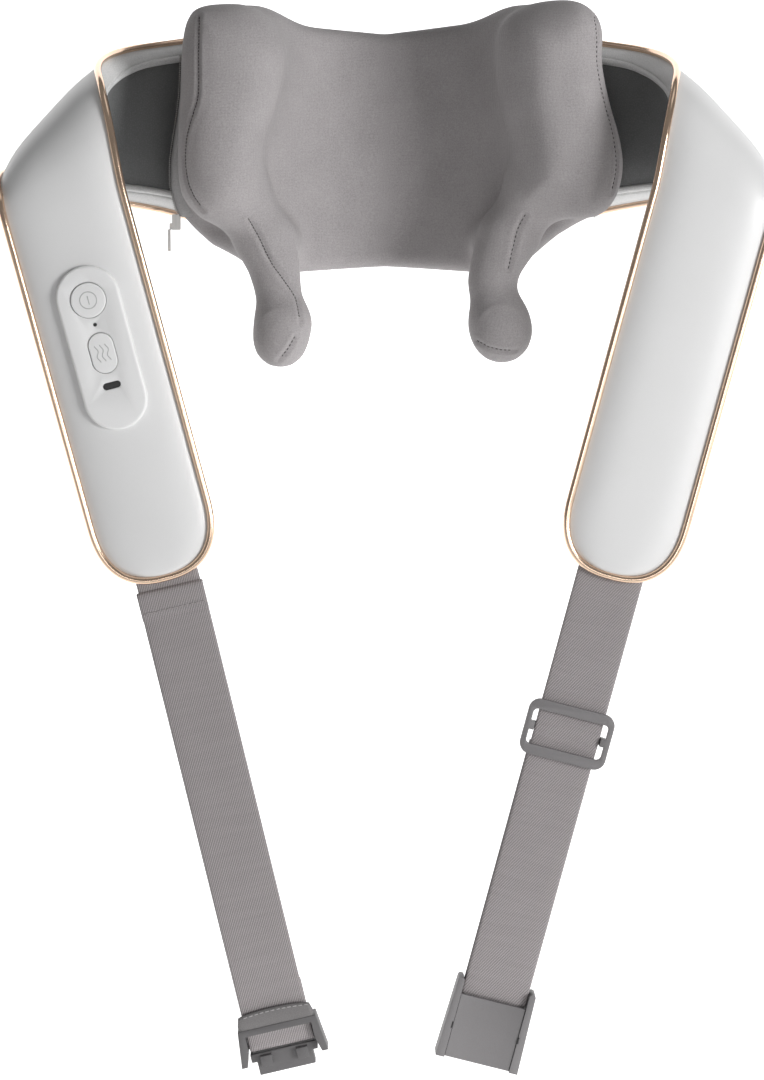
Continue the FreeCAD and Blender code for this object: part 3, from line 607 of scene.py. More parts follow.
def mark(name, lines, radius, body):
    flat_tubes = [tube_rows(line, radius, 6, 0.5, (0, 1, 0)) for line in lines]
    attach(finish(skins(name, flat_tubes, closed=True, caps=True), "icon_grey"), body)


# The marks lie just proud of the buttons' faces.
POWER_Q, POWER_RING, POWER_BAR, POWER_LINE = -7.62, 4.3, (-2.3, -0.8, 0.8, 2.3), 0.24
HEAT_Q, HEAT_GAP, HEAT_START, HEAT_STEP, HEAT_SWAY, HEAT_LINE = -7.32, 2.7, -4.4, 0.4, 0.6, 0.25
HEAT_BENDS = 1.05                 # radians of sway for each mm down the wave
ring = [left_plate(POD_S + POWER_S + POWER_RING * math.sin(a), POWER_RING * math.cos(a), POWER_Q)
        for a in (math.radians(d) for d in range(0, 365, 8))]
bar = [left_plate(POD_S + POWER_S + s, 0, POWER_Q) for s in POWER_BAR]
mark("power_mark", [ring, bar], POWER_LINE, "power_button")
waves = []
for across in (-HEAT_GAP, 0, HEAT_GAP):
    waves.append([left_plate(POD_S + HEAT_S + s, across + HEAT_SWAY * math.sin(s * HEAT_BENDS), HEAT_Q)
                  for s in (HEAT_START + HEAT_STEP * i for i in range(23))])
mark("heat_mark", waves, HEAT_LINE, "heat_button")

# The dark mouth of the charging socket: a black plug just inside the opening, partly the socket's black
# insides and partly painted shade for the hole's depth. (size, depth) of each ring.
USB_HALF, USB_ROUND, USB_POINTS = 2.85, 1.75, 40
USB_RINGS = ((1.0, -6.21), (1.0, -6.34), (0.8, -6.36))


def usb_point(size, q, angle):
    straight = USB_HALF * math.copysign(min(1, 4 * abs(math.cos(angle))), math.cos(angle))
    return left_plate(POD_S + USB_S + USB_ROUND * size * math.sin(angle),
                      straight + USB_ROUND * size * math.cos(angle), q)


rows = [[usb_point(size, q, 2 * math.pi * (k + 0.5) / USB_POINTS) for k in range(USB_POINTS)]
        for size, q in USB_RINGS]
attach(finish(skin("usb_mouth", rows, closed=True, caps=True, flip=True), "socket_black"), "arm_left")

# ---------------- knit cover
# Outlines in the front view, as (x, z), of the cover's body and of the sleeve over each upper head.
BLOCK = [(0, 62), (-46, 66), (-62, 69), (-85, 67), (-110, 55), (-111.6, 29), (-119, -4), (-119.4, -20),
         (-116, -34), (-108, -40), (-94, -51.5), (-81, -58), (-70, -64), (-50, -67), (0, -64.4), (48, -67),
         (66, -66), (80, -57), (94, -46), (110, -37), (117, -30), (119.4, -20), (119, -4), (111.6, 29),
         (110, 55), (85, 67), (62, 69), (46, 67.5)]
LOBE = {
    "left": [(-99, 73.5), (-86, 75.5), (-72.5, 74.5), (-60.5, 66.7), (-53.0, 52.2), (-54.5, 38),
             (-59.2, 19.0), (-64.0, 5.9), (-66.5, -8), (-68.4, -20.2), (-74.2, -32.8), (-84, -37.6),
             (-93, -37.6), (-100.7, -33.9), (-109.0, -21.8), (-110.3, 0), (-108.5, 29.9), (-107.5, 53.8),
             (-104.8, 66.7)],
    "right": [(58.3, 58), (62.5, 68.3), (71.8, 74.5), (84, 77.4), (98.6, 77.2), (108.2, 71.5),
              (112.9, 61.7), (113, 44.5), (117.1, 24.7), (122.6, 5.9), (124.6, -9.8), (121.3, -24.5),
              (114.0, -33.5), (104, -36.2), (89, -34), (78, -30.3), (70.4, -26.2), (66.5, -12), (64.3, 8),
              (60.5, 24), (58.3, 42)],
}
# The sleeves over the lower heads, as balls (place, radius) that run into each other.
FINGER = {
    "left": [((-75, -43, -26), 13.5), ((-65.5, -38.5, -47), 15.0), ((-60.5, -40, -61), 12.0),
             ((-58.7, -41, -71), 10.6), ((-55.6, -45, -92), 13.9), ((-57.0, -46, -101.2), 14.4)],
    "right": [((77, -43, -25), 13.5), ((65.5, -38.5, -46), 15.0), ((59.0, -40, -60), 12.2),
              ((56.0, -41, -71), 10.8), ((60.2, -45, -92), 15.2), ((61.6, -46, -97.8), 15.6)],
}
# The cloth keeps clear of each hand's lower post, which turns a few degrees under it.
POST = {side: [(on_side((57.5, y, -50), side), 11.0) for y in (-6, -24)] for side in ("left", "right")}
NECK_RADIUS, NECK_Y, PANEL_Y = 90, -90, -22.9        # the hollow for the neck, and the flat beside it
SIDE_X, SIDE_SWELL, SWELL_Z, SWELL_HEIGHT, SIDE_Y = 110, 9.5, -13, 33, -17
SLANT = (0.413, 0.91)             # the body's front corners fall back in this direction
DIAGONAL = 0.707
BACK_X, BACK_Y, BACK_SLOPE = [0, 45, 85, 110, 122], [23, 19, 7.6, -6.5, -14], 0.92
LOBE_FRONT, LOBE_BACK, LOBE_CROWN, CROWN_REACH = 72.5, 4, 2.2, 26.0
EDGE_ROUND, RIGHT_ROUND, LEFT_ROUND = 19.0, 11.0, 3.0
EDGE_BLEND, INNER_BLEND, FINGER_BLEND, CHAIN_BLEND, POST_BLEND = 6.0, (7.0, 13.0), 17.0, 7.0, 8.0


def poly_sd(x, z, poly):
    """Signed distance to a closed polygon, negative inside."""
    best = np.full(x.shape, np.inf)
    inside = np.zeros(x.shape, bool)
    for (x0, z0), (x1, z1) in zip(poly, poly[1:] + poly[:1]):
        dx, dz = x1 - x0, z1 - z0
        h = np.clip(((x - x0) * dx + (z - z0) * dz) / (dx * dx + dz * dz), 0, 1)
        best = np.minimum(best, (x - x0 - h * dx) ** 2 + (z - z0 - h * dz) ** 2)
        cross = (z0 > z) != (z1 > z)
        with np.errstate(divide="ignore", invalid="ignore"):
            inside ^= cross & (x < x0 + (z - z0) / (dz if dz else 1e-9) * dx)
    return np.sqrt(best) * np.where(inside, -1, 1)


def between(p0, p1, p2, p3, f):
    """The point at share f from p1 to p2 of a smooth curve through all four."""
    return 0.5 * (2 * p1 + (p2 - p0) * f + (2 * p0 - 5 * p1 + 4 * p2 - p3) * f**2
                  + (3 * p1 - p0 - 3 * p2 + p3) * f**3)


def rounded_poly(poly):
    """A smooth closed curve through the polygon's corners."""
    points, n = [], len(poly)
    for i in range(n):
        near = [np.array(poly[(i + k) % n], float) for k in (-1, 0, 1, 2)]
        points += [tuple(between(*near, f)) for f in (0, 0.25, 0.5, 0.75)]
    return points


def smin(a, b, k):
    """The smaller of two distances, rounded over k mm where they meet."""
    h = np.clip(0.5 + 0.5 * (b - a) / k, 0, 1)
    return b * (1 - h) + a * h - k * h * (1 - h)


def smax(a, b, k):
    return -smin(-a, -b, k)


LOBE_CURVE = {side: rounded_poly(poly) for side, poly in LOBE.items()}


def capsule_sd(p, chain, k):
    found = None
    for (a, ra), (b, rb) in zip(chain, chain[1:]):
        a, b = np.array(a, float), np.array(b, float)
        d = b - a
        h = np.clip(((p - a) @ d) / (d @ d), 0, 1)
        dist = np.linalg.norm(p - a - h[:, None] * d, axis=1) - (ra + (rb - ra) * h)
        found = dist if found is None else smin(found, dist, k)
    return found


def share(value, start, length):
    """0 up to start, rising to 1 over length."""
    return np.clip((value - start) / length, 0, 1)


def cover_sd(p):
    """Signed distance to the cover's surface: its body, the two lobes, the fingers and the posts."""
    x, y, z = p[:, 0], p[:, 1], p[:, 2]
    ax = np.abs(x)
    side = SIDE_X + SIDE_SWELL * np.exp(-(((z - SWELL_Z) / SWELL_HEIGHT) ** 2))
    front = smax(NECK_RADIUS - np.hypot(x, y - NECK_Y), PANEL_Y - y, 5.0)
    slant = SLANT[0] * (ax - side) - SLANT[1] * (y - SIDE_Y)
    behind = DIAGONAL * (ax - side) + DIAGONAL * (y - SIDE_Y)
    rear = (y - np.interp(ax, BACK_X, BACK_Y)) * BACK_SLOPE
    plan = smax(smax(front, slant, 4.0), smax(behind, rear, 4.0), 4.0)
    found = smax(plan, poly_sd(x, z, BLOCK), 9.0)
    for name in ("left", "right"):
        outline = poly_sd(x, z, LOBE_CURVE[name])
        if name == "right":
            r = EDGE_ROUND + RIGHT_ROUND * share(-x, -100, 28)
        else:
            r = EDGE_ROUND + LEFT_ROUND * share(x, -85, 20)
        a = outline + r
        b = np.maximum(-y - LOBE_FRONT + r, y + LOBE_BACK)
        b = b - LOBE_CROWN * share(-outline, 0, CROWN_REACH)
        lobe = np.minimum(np.maximum(a, b), 0) + np.hypot(np.maximum(a, 0), np.maximum(b, 0)) - r
        lobe = smax(lobe, rear, 4.0)
        t = share(z, -38, 45)
        k = INNER_BLEND[0] + INNER_BLEND[1] * t * t * (3 - 2 * t)
        inner = share(-ax, -88, 20)
        found = smin(found, lobe, EDGE_BLEND + (k - EDGE_BLEND) * inner)
        found = smin(found, capsule_sd(p, FINGER[name], CHAIN_BLEND), FINGER_BLEND)
        found = smin(found, capsule_sd(p, POST[name], 1.0), POST_BLEND)
    return found


def surface_net(field, low, high, step):
    """Quads close to the field's zero level."""
    axes = [np.arange(a, b + step, step) for a, b in zip(low, high)]
    grid = np.stack(np.meshgrid(*axes, indexing="ij"), -1)
    value = field(grid.reshape(-1, 3)).reshape(grid.shape[:3])
    inside = value < 0
    cells = tuple(n - 1 for n in value.shape)
    total, hits = np.zeros(cells + (3,)), np.zeros(cells)
    for axis in range(3):
        for o in ((0, 0), (0, 1), (1, 0), (1, 1)):
            start = list(o)
            start.insert(axis, 0)
            stop = list(start)
            stop[axis] = 1
            at0 = tuple(slice(s, s + c) for s, c in zip(start, cells))
            at1 = tuple(slice(s, s + c) for s, c in zip(stop, cells))
            v0, v1 = value[at0], value[at1]
            cut = inside[at0] != inside[at1]
            with np.errstate(divide="ignore", invalid="ignore"):
                f = np.where(cut, v0 / (v0 - v1), 0)
            point = grid[at0] + (grid[at1] - grid[at0]) * f[..., None]
            total += np.where(cut[..., None], point, 0)
            hits += cut
    used = hits > 0
    index = np.full(cells, -1)
    index[used] = np.arange(used.sum())
    co = total[used] / hits[used][:, None]
    faces = []
    for axis in range(3):
        u, v = [i for i in range(3) if i != axis]
        span = [slice(1, n - 1) for n in value.shape]
        span[axis] = slice(0, value.shape[axis] - 1)
        ahead = list(span)
        ahead[axis] = slice(1, value.shape[axis])
        a, b = inside[tuple(span)], inside[tuple(ahead)]
        where = np.argwhere(a != b) + [s.start for s in span]
        quad = []
        for du, dv in ((0, 0), (-1, 0), (-1, -1), (0, -1)):
            c = where.copy()
            c[:, u] += du
            c[:, v] += dv
            quad.append(index[tuple(c.T)])
        faces += np.stack(quad, 1).tolist()
    return co, faces


def gradient(field, co):
    h = 0.4
    out = np.zeros_like(co)
    for i in range(3):
        e = np.zeros(3)
        e[i] = h
        out[:, i] = (field(co + e) - field(co - e)) / (2 * h)
    return out


def settle(field, co):
    """Moves points on to the field's zero level."""
    for _ in range(3):
        g = gradient(field, co)
        co = co - (field(co) / np.maximum((g * g).sum(1), 0.2))[:, None] * g
    return co


def vectors(obj, what):
    """The vertices' "co" or "normal", as rows of three."""
    found = np.zeros(len(obj.data.vertices) * 3)
    obj.data.vertices.foreach_get(what, found)
    return found.reshape(-1, 3)


def put(obj, co):
    obj.data.vertices.foreach_set("co", np.asarray(co, float).ravel())
    obj.data.update()


COVER_STEP = 3.0
co, faces = surface_net(cover_sd, (-129, -78, -123), (129, 30, 84), COVER_STEP)
co = settle(cover_sd, co)
cover = new_object("cover_skin", [tuple(p) for p in co], faces)
bm = bmesh.new()
bm.from_mesh(cover.data)
bmesh.ops.recalc_face_normals(bm, faces=bm.faces)
bm.to_mesh(cover.data)
bm.free()
subdivide = cover.modifiers.new("subdivide", "SUBSURF")
subdivide.levels = subdivide.render_levels = 1
apply_modifiers(cover)

# Seams as lines in the front view, dropped on to the cloth from the front, in mm.
SEAMS = {
    "left": [[(-98.2, 68.5), (-98.6, 48), (-99.0, 28.2), (-103, 15), (-105.6, 4.9), (-106.0, -10),
              (-103, -22), (-96.1, -33.0)],
             [(-73.1, -36.5), (-67.5, -47), (-61.7, -59.1), (-56, -67), (-51.7, -73), (-48.2, -79),
              (-46.6, -87), (-46.2, -92)],
             [(-48.8, -98.5), (-53, -105.5), (-58.5, -112.2)]],
    "right": [[(108.5, 69.0), (109.6, 57), (109.9, 44.4), (113, 28), (118.4, 8), (120.4, -8), (118, -23)],
              [(72.8, -34.5), (69.5, -41), (67.6, -48.0), (66, -56), (64.6, -63.4)],
              [(47.6, -101.2), (54, -104.4), (61, -106.0), (68.7, -106.0)]],
}
SEAM_GAP, SEAM_REACH, SEAM_BACK = 1.0, 6, -8
GROOVE, GROOVE_WIDTH, RIDGE, RIDGE_WIDTH, RIDGE_OFF = 0.9, 1.25, 0.4, 1.3, 2.6
# A raised line round the front of each finger's ball: (x, z, radius).
BALL_LINES = ((-56.6, -96.5, 12.6), (61.0, -95.5, 13.6))
BALL_RIDGE, BALL_RIDGE_WIDTH, BALL_FRONT = 0.45, 1.4, -44


def fine_line(points, gap):
    """The polyline as a smooth line with points gap mm apart."""
    pts = [np.array(p, float) for p in points]
    pts = [2 * pts[0] - pts[1]] + pts + [2 * pts[-1] - pts[-2]]
    dense = []
    for i in range(1, len(pts) - 2):
        dense += [between(*pts[i - 1:i + 3], f) for f in np.linspace(0, 1, 24, endpoint=False)]
    dense.append(pts[-2])
    dense = np.array(dense)
    run = np.concatenate([[0], np.cumsum(np.linalg.norm(np.diff(dense, axis=0), axis=1))])
    want = np.arange(0, run[-1], gap)
    return np.stack([np.interp(want, run, dense[:, i]) for i in range(dense.shape[1])], 1)


DROP_ROUNDS, DROP_SHARE, START_Y = 60, 0.8, -82.0


def drop(line):
    """Front-view points moved back along +Y until they meet the cloth."""
    p = np.column_stack([line[:, 0], np.full(len(line), START_Y), line[:, 1]])
    for _ in range(DROP_ROUNDS):
        p[:, 1] += np.clip(cover_sd(p) * DROP_SHARE, -2, 6)
    return p


def onto(points, tree, cloth_normals, lift):
    """Moves points to the nearest place of the finished cloth, lifted along its normal."""
    out = []
    for p in points:
        c, n, weight = Vector(), Vector(), 0.0
        for place, index, far in tree.find_n(p, 4):
            w = 1 / (far * far + 0.05)
            c += place * w
            n += Vector(cloth_normals[index]) * w
            weight += w
        c /= weight
        n.normalize()
        p = Vector(p)
        out.append(p - n * (p - c).dot(n) + n * lift)
    return out


at, no = vectors(cover, "co") / MM, vectors(cover, "normal")
shift = np.zeros(len(at))
seam_lines = {"left": [], "right": []}
for side, lines in SEAMS.items():
    for line in lines:
        curve = drop(fine_line(line, SEAM_GAP))
        curve = curve[curve[:, 1] < SEAM_BACK]
        seam_lines[side].append(curve)
        low, high = curve.min(0) - SEAM_REACH, curve.max(0) + SEAM_REACH
        near = np.nonzero(np.all((at > low) & (at < high), axis=1))[0]
        d = np.sqrt(((at[near][:, None] - curve[None]) ** 2).sum(2)).min(1)
        shift[near] -= GROOVE * np.exp(-(d / GROOVE_WIDTH) ** 2)
        shift[near] += RIDGE * np.exp(-((d - RIDGE_OFF) / RIDGE_WIDTH) ** 2)
for cx, cz, r in BALL_LINES:
    d = np.abs(np.hypot(at[:, 0] - cx, at[:, 2] - cz) - r)
    top = share(at[:, 2] - cz, 2, 6) * (at[:, 1] < BALL_FRONT)
    shift += BALL_RIDGE * np.exp(-(d / BALL_RIDGE_WIDTH) ** 2) * top
put(cover, (at + no * shift[:, None]) * MM)
at, no = vectors(cover, "co") / MM, vectors(cover, "normal")
tree = KDTree(len(at))
for i, p in enumerate(at):
    tree.insert(p, i)
tree.balance()


def follow_hand(piece):
    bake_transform(piece)


def half(obj, name, sign):
    """One side of the cover, which keeps the whole cover's normals so that no line shows at the cut."""
    mesh = obj.data.copy()
    mesh.name = name
    piece = linked(name, mesh)
    bm = bmesh.new()
    bm.from_mesh(mesh)
    layer = bm.verts.layers.float_vector.new("smooth_normal")
    for v in bm.verts:
        v[layer] = v.normal
    gone = [f for f in bm.faces if (f.calc_center_median().x < 0) == (sign > 0)]
    bmesh.ops.delete(bm, geom=gone, context="FACES")
    loose = [v for v in bm.verts if not v.link_faces]
    bmesh.ops.delete(bm, geom=loose, context="VERTS")
    bm.to_mesh(mesh)
    bm.free()
    kept = np.zeros(len(mesh.vertices) * 3, np.float32)
    mesh.attributes["smooth_normal"].data.foreach_get("vector", kept)
    mesh.normals_split_custom_set_from_vertices(kept.reshape(-1, 3).tolist())
    mesh.attributes.remove(mesh.attributes["smooth_normal"])
    return piece


cover_halves = {"right": half(cover, "knit_cover_right", 1), "left": half(cover, "knit_cover_left", -1)}
bpy.data.objects.remove(cover)
for side, piece in cover_halves.items():
    finish(piece, "knit_cover")
    follow_hand(piece)
    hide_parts("head_sleeves_" + side, "upper_head_" + side, "lower_head_" + side,
                "heating_film_" + side)
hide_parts("cover_base")


def stitches(name, lines, length, gap, radius, material):
    """Thread dashes along lines of close points."""
    parts = []
    for line in lines:
        step = (line[1] - line[0]).length
        per, on = max(2, round(gap / step)), max(1, round(length / step))
        for i in range(0, len(line) - on, per):
            parts.append(tube_rows(line[i:i + on + 1], radius, 5, 0.6))
    return finish(skins(name, parts, closed=True, caps=True), material)


for side in ("left", "right"):
    lines = []
    for curve in seam_lines[side]:
        fine = fine_line([tuple(p) for p in curve[::3]], 0.6)
        lines.append(onto(fine, tree, no, 0.05))
    thread = stitches("cover_stitches_" + side, lines, length=1.5, gap=2.4, radius=0.27,
                      material="thread_dark")
    follow_hand(thread)

# ---------------- zips
ZIP_X, ZIP_TOP, ZIP_HEIGHT, ZIP_COUNT = 140.0, 50, 86, 60
ZIP_DEEP = (-22.0, -20.6, -19.6, -18.4, -17.2, -15.6, -14.0)      # y of the points across the tape
TAPE_EDGE, TAPE_LIFT, TEETH_LIFT, TEETH_AT = 0.1, 0.9, 1.5, 4
TOOTH_GAP, TOOTH_OFFSET, TOOTH_HALF, TOOTH_RADIUS = 1.1, 0.9, Vector((0, 1.1, 0)), 0.42


def zip_rows(sign):
    """Rows of points across the tape, dropped on to the cloth from the side, and the teeth's line."""
    p = np.array([[sign * ZIP_X, y, ZIP_TOP - ZIP_HEIGHT * i / ZIP_COUNT]
                  for i in range(ZIP_COUNT + 1) for y in ZIP_DEEP])
    for _ in range(DROP_ROUNDS):
        p[:, 0] -= sign * np.clip(cover_sd(p) * DROP_SHARE, -2, 5)
    g = gradient(cover_sd, p)
    g /= np.linalg.norm(g, axis=1)[:, None]
    lift = np.tile([TAPE_EDGE] + [TAPE_LIFT] * 5 + [TAPE_EDGE], ZIP_COUNT + 1)[:, None]
    shape = (ZIP_COUNT + 1, len(ZIP_DEEP), 3)
    teeth = (p + g * TEETH_LIFT).reshape(shape)[:, TEETH_AT]
    return [[Vector(q) for q in row] for row in (p + g * lift).reshape(shape)], teeth


for side in ("right", "left"):
    rows, line = zip_rows(SIGN[side])
    tape = finish(skin("zip_tape_" + side, rows, flip=side == "left"), "zip_tape")
    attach(tape, "root")
    line = fine_line([tuple(p) for p in line], TOOTH_GAP)
    parts = []
    for i, (a, b) in enumerate(zip(line, line[1:])):
        middle = (Vector(a) + Vector(b)) * 0.5
        middle += Vector((0, TOOTH_OFFSET if i % 2 else -TOOTH_OFFSET, 0))
        parts.append(tube_rows([middle - TOOTH_HALF, middle + TOOTH_HALF], TOOTH_RADIUS, 6, up=(0, 0, 1)))
    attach(finish(skins("zip_teeth_" + side, parts, closed=True, caps=True), "zip_metal"), "root")
    if side == "right":
        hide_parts("zipper_tapes")

# ---------------- webbing straps
BAR_GAP = 0.1
BAR_Q = STRAP_Q + STRAP_THICK / 2 + BAR_RADIUS + BAR_GAP
RETURN_Q = BAR_Q + BAR_RADIUS + 1.0                  # the webbing that comes back behind a bar
SELVEDGE = (0, 0.5, 1.6)                             # points near an edge, in mm from it
HEIGHTS = [0.35, 0.8, 1.0, 0.96, 0.94]               # shares of the half thickness, from edge to middle


def web(name, path, width=STRAP_WIDTH, thick=STRAP_THICK, place=plate_point):
    """Webbing with rounded selvedges along a path of (s, q) points in the chest plate's plane."""
    half, t = width / 2, thick / 2
    right = [half * 0.2, half * 0.6] + [half - e for e in reversed(SELVEDGE)]
    front = list(zip([-a for a in reversed(right)] + right, HEIGHTS + HEIGHTS[::-1]))
    section = front + [(a, -h) for a, h in reversed(front)]
    rows = []
    for i, (s, q) in enumerate(path):
        s0, q0 = path[max(i - 1, 0)]
        s1, q1 = path[min(i + 1, len(path) - 1)]
        d = math.hypot(s1 - s0, q1 - q0)
        ns, nq = (q1 - q0) / d, -(s1 - s0) / d
        rows.append([place(s + ns * h * t, a, q + nq * h * t) for a, h in section])
    obj = skin(name, rows, closed=True, caps=True, flip=place is plate_point)
    # The rims of the two cut ends are crisp.
    ends = {tuple(sorted(e)) for f in obj.data.polygons if f.loop_total > 4 for e in f.edge_keys}
    crisp = obj.data.attributes.new("sharp_edge", "BOOLEAN", "EDGE")
    crisp.data.foreach_set("value", [tuple(sorted(e.vertices)) in ends for e in obj.data.edges])
    return obj


WAVE, WAVE_LENGTH, WAVE_FADE, WAVE_START, WAVE_END = 0.35, 37.0, 30, 215, LEFT_BAR_S - 25


def wavy(s):
    """Cloth straps never hang quite flat."""
    fade = share(s, WAVE_START, WAVE_FADE) * share(-s, -WAVE_END, WAVE_FADE)
    return STRAP_Q + WAVE * math.sin(s / WAVE_LENGTH) * fade


def run(s0, s1, step=3.0):
    """Even places from s0 to s1, about step apart."""
    n = max(2, int(abs(s1 - s0) / step))
    return [s0 + (s1 - s0) * i / n for i in range(n + 1)]


TURN_STEPS, TURN_ROOM = 14, 3


def turn(bar_s):
    """Half a turn round a bar."""
    r = BAR_RADIUS + BAR_GAP + STRAP_THICK / 2
    angles = (math.pi * i / TURN_STEPS for i in range(TURN_STEPS + 1))
    return [(bar_s + r * math.sin(a), BAR_Q - r * math.cos(a)) for a in angles]


def blend_straps(piece):
    """Bakes the piece's transform into its mesh."""
    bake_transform(piece)


TAB_TOP, SWING_TOP, SWING_END = 178, 199.5, 206
left_path = [(s, wavy(s)) for s in run(206.6, LEFT_BAR_S - TURN_ROOM)] + turn(LEFT_BAR_S)
left_path += [(s, RETURN_Q) for s in run(LEFT_BAR_S - TURN_ROOM, LEFT_BAR_S - 30)]
strap_left = finish(web("strap_webbing_left", left_path, place=hung_left), "webbing_left")
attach(strap_left, "strap_left")
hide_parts("strap_left")
lap_path = [(205.4, STRAP_Q + 0.4), (204.9, STRAP_Q - 0.3), (205.0, STRAP_Q - 1.2), (205.8, STRAP_Q - 1.75)]
lap_path += [(s, STRAP_Q - 1.8 + 0.06 * (s - 206)) for s in run(207.5, 219.5, 2.0)]
lap = finish(web("strap_lap_left", lap_path, STRAP_WIDTH + 0.3, 1.4, hung_left), "webbing_left")
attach(lap, "strap_left")
tab_path = [(s, STRAP_Q + 0.3) for s in run(TAB_TOP, 207.5, 2.5)]
tab = finish(web("strap_tab_web_left", tab_path, 33.2, 1.8, left_plate), "webbing_left")
blend_straps(tab)
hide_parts("strap_tab_left")
row = [hung_left(215.6, a, STRAP_Q - 2.0) for a in np.arange(-16.4, 16.5, 0.5)]
thread = stitches("lap_stitches", [row], length=1.9, gap=3.0, radius=0.36, material="thread_grey")
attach(thread, "strap_left")

JOIN_S = 213.0
top_path = [(s, STRAP_Q) for s in run(TAB_TOP, JOIN_S, 2.5)]
top = finish(web("strap_top_web_right", top_path), "webbing_right")
blend_straps(top)
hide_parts("strap_tab_right")


# The webbing rises over the slide's middle bar and dips behind its outer two.
RISE, RISE_LENGTH, DIP, DIP_LENGTH, OUTER_BAR = 0.8, 6.0, 0.25, 5.0, 13


def over_bar(s):
    q = STRAP_Q - RISE * math.exp(-(((s - SLIDER_S) / RISE_LENGTH) ** 2))
    for bar_s in (SLIDER_S + OUTER_BAR, SLIDER_S - OUTER_BAR):
        q += DIP * math.exp(-(((s - bar_s) / DIP_LENGTH) ** 2))
    return q


HIDDEN_S = SLIDER_S - 12.3        # the two lengths of webbing meet behind the slide's top bar
TUCK, TUCK_LENGTH, OVERLAP = 0.15, 5, 3.5


def tucked(s):
    """The lower length starts just behind the upper one, so no gap opens when the slide moves."""
    return over_bar(s) + TUCK * share(-s, -HIDDEN_S - TUCK_LENGTH, TUCK_LENGTH)


upper_path = [(s, over_bar(s)) for s in run(JOIN_S, HIDDEN_S, 2.0)]
upper = finish(web("strap_upper_web_right", upper_path), "webbing_right")
blend_straps(upper)
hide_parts("strap_right")
loop_path = [(s, tucked(s)) for s in run(HIDDEN_S - OVERLAP, RIGHT_BAR_S - TURN_ROOM, 2.5)]
loop_path += turn(RIGHT_BAR_S) + [(s, RETURN_Q) for s in run(RIGHT_BAR_S - TURN_ROOM, SLIDER_S + 9)]
loop = finish(web("strap_loop_web_right", loop_path), "webbing_right")
blend_straps(loop)
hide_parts("strap_loop_right")

# ---------------- buckles
# The hook frame and tongue take the darker copy of the buckle plastic, as painted shade.
for node, name, width in (("strap_slider", "slide_frame", 0.5), ("female_buckle", "socket_buckle", 0.4),
                          ("male_frame", "hook_frame", 0.4), ("hook_plate", "hook_tongue", 0.4)):
    finish(softened(node, name, width), "hook_plastic" if name.startswith("hook") else "buckle_plastic")

# Painted shade: black lines stand for the shade in the gaps between the socket's cover and its side rails,
# with a small catch window in each.
TOP_S, END_S = RIGHT_BAR_S - 6.9, RIGHT_BAR_S + 37.7
GAP_X, GAP_Q, GAP_RADIUS = 17.8, STRAP_Q - 3.62, 0.26
WINDOW_X, WINDOW_Q, WINDOW_RADIUS = GAP_X + 0.35, STRAP_Q - 4.25, 0.48
gaps, windows = [], []
for sign in (-1, 1):
    gap = [plate_point(s, sign * GAP_X, GAP_Q) for s in run(TOP_S + 9.3, END_S - 0.9, 5)]
    gaps.append(tube_rows(gap, GAP_RADIUS, 6))
    window = [plate_point(s, sign * WINDOW_X, WINDOW_Q) for s in run(TOP_S + 24.5, TOP_S + 28.0, 1)]
    windows.append(tube_rows(window, WINDOW_RADIUS, 8))
dark = finish(skins("socket_gaps", gaps + windows, closed=True, caps=True), "socket_black")
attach(dark, "female_buckle")

# Stitched pull tab: a stuffed bar with rounded ends over the frame's top.
PULL_S, PULL_HALF, PULL_BOW, PULL_TALL, PULL_THICK = LEFT_BAR_S - 12.9, 20.7, 1.5, 5.3, 1.35
PULL_STEPS, PULL_RING, PULL_END = 32, 16, 0.05
rows = []
for i in range(PULL_STEPS + 1):
    a = -1 + 2 * i / PULL_STEPS
    end = max((1 - abs(a) ** 7) ** (1 / 7), PULL_END)
    section = []
    for w in (2 * math.pi * k / PULL_RING for k in range(PULL_RING)):
        tall = PULL_TALL * end * math.copysign(abs(math.cos(w)) ** 0.55, math.cos(w))
        thick = PULL_THICK * end * math.copysign(abs(math.sin(w)) ** 0.75, math.sin(w))
        s = PULL_S - PULL_BOW * (1 - a * a) + tall
        section.append(hung_left(s, PULL_HALF * a, STRAP_Q - 2.55 - thick))
    rows.append(section)
pull = finish(skin("pull_tab", rows, closed=True, caps=True, flip=True), "pull_leather")
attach(pull, "male_buckle")
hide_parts("buckle_pull_tab")
row = [hung_left(PULL_S - 3.9 - PULL_BOW * (1 - (a / PULL_HALF) ** 2), a, STRAP_Q - 3.78)
       for a in np.arange(-18.6, 18.7, 0.5)]
thread = stitches("pull_tab_stitches", [row], length=1.8, gap=2.8, radius=0.34, material="thread_light")
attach(thread, "male_buckle")

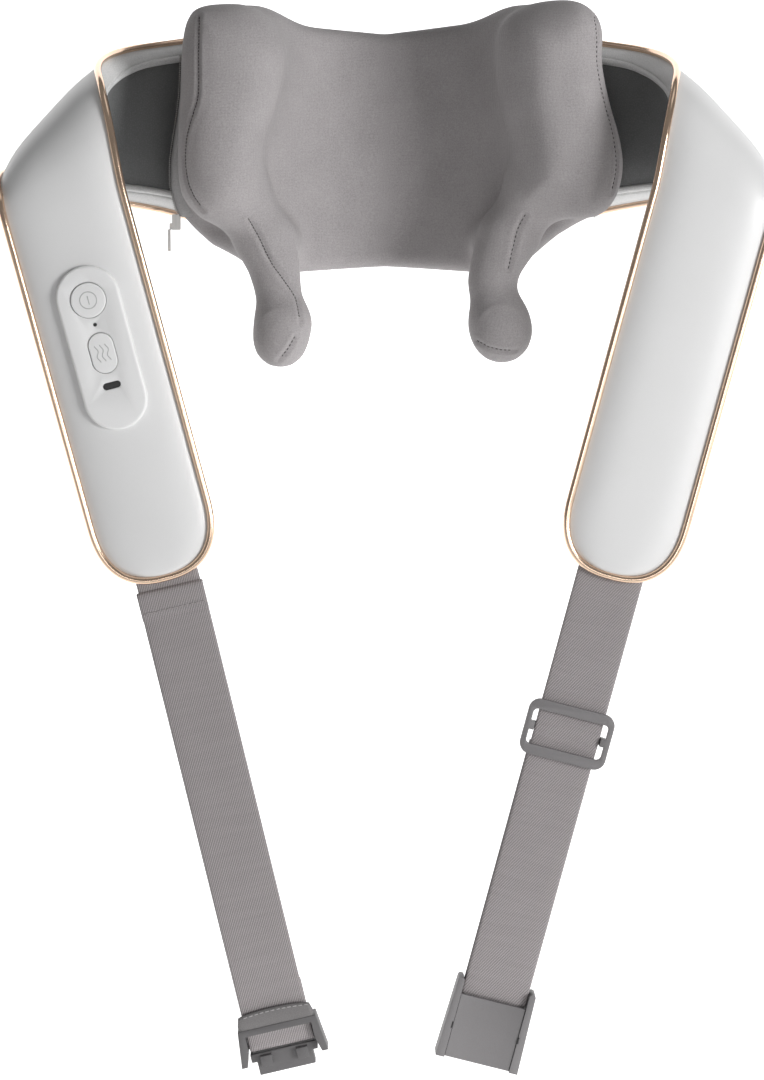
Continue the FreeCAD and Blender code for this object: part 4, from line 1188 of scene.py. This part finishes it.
# ---------------- stage, light and camera
FLOOR_GAP, FLOOR_HALF = 0.002, 6      # metres, like the rest of this section
FLOOR_FRONT, FLOOR_BACK, CURVE, WALL_TOP = -4.0, 2.2, 1.2, 5.0
floor_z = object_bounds()[0][2] - FLOOR_GAP
profile = [(FLOOR_FRONT, 0)] + [(y, 0) for y in np.linspace(-2.0, FLOOR_BACK, 8)]
profile += [(FLOOR_BACK + CURVE * math.sin(a), CURVE - CURVE * math.cos(a))
            for a in np.linspace(0.1, math.pi / 2, 12)]
profile.append((FLOOR_BACK + CURVE, WALL_TOP))
rows = [[Vector((x, y, z + floor_z)) / MM for x in np.linspace(-FLOOR_HALF, FLOOR_HALF, 5)]
        for y, z in profile]
floor = skin("floor", rows, flip=True)
m = Nodes("floor_paper", (0.80, 0.80, 0.80), 0.9)
m.rough(m.span(m.noise(m.coord(), 40, 2.0), 0.85, 0.95))
m.shader.inputs["Emission Color"].default_value = (1, 1, 1, 1)
# The paper glows behind and under the object, and fades in front, so that it doesn't light the object's face.
depth = m.add("ShaderNodeSeparateXYZ", None, Vector=m.coord()).outputs["Y"]
fade = m.add("ShaderNodeMapRange", None, **{"Value": depth, "From Min": -0.42, "From Max": -0.12,
                                            "To Min": 0.04, "To Max": 0.95}).outputs[0]
m.tree.links.new(fade, m.shader.inputs["Emission Strength"])
floor.data.materials.append(m.material)


def area_light(name, place, target, power, size):
    light = bpy.data.lights.new(name, "AREA")
    light.energy = power
    light.shape = "RECTANGLE"
    light.size, light.size_y = size
    obj = linked(name, light)
    obj.location = place
    obj.rotation_euler = (Vector(target) - Vector(place)).to_track_quat("-Z", "Y").to_euler()


area_light("key", (2.0, -1.8, 0.0), target=(0, 0, -0.15), power=49, size=(0.9, 0.9))
area_light("front", (0.25, -2.3, -0.7), target=(0, 0, -0.1), power=14, size=(1.2, 1.0))
area_light("top", (0.6, -0.5, 1.8), target=(0, 0, -0.1), power=2, size=(1.2, 1.0))
world = bpy.data.worlds.new("studio")
world.use_nodes = True
background = world.node_tree.nodes["Background"]
background.inputs["Color"].default_value = (1, 1, 1, 1)
background.inputs["Strength"].default_value = 0.2
bpy.context.scene.world = world
bpy.context.scene.view_settings.view_transform = "Standard"

azimuth, elevation, distance = math.radians(-1), math.radians(8), 1.5
forward = Vector((-math.sin(azimuth) * math.cos(elevation), math.cos(azimuth) * math.cos(elevation),
                  -math.sin(elevation)))
aim = Vector((-0.00364, -0.104, -0.20104))
camera = bpy.data.cameras.new("camera")
camera.lens = 96.15
camera.sensor_width = 36.0
camera_object = linked("camera", camera)
camera_object.location = aim - forward * distance
camera_object.rotation_euler = forward.to_track_quat("-Z", "Y").to_euler()
bpy.context.scene.camera = camera_object
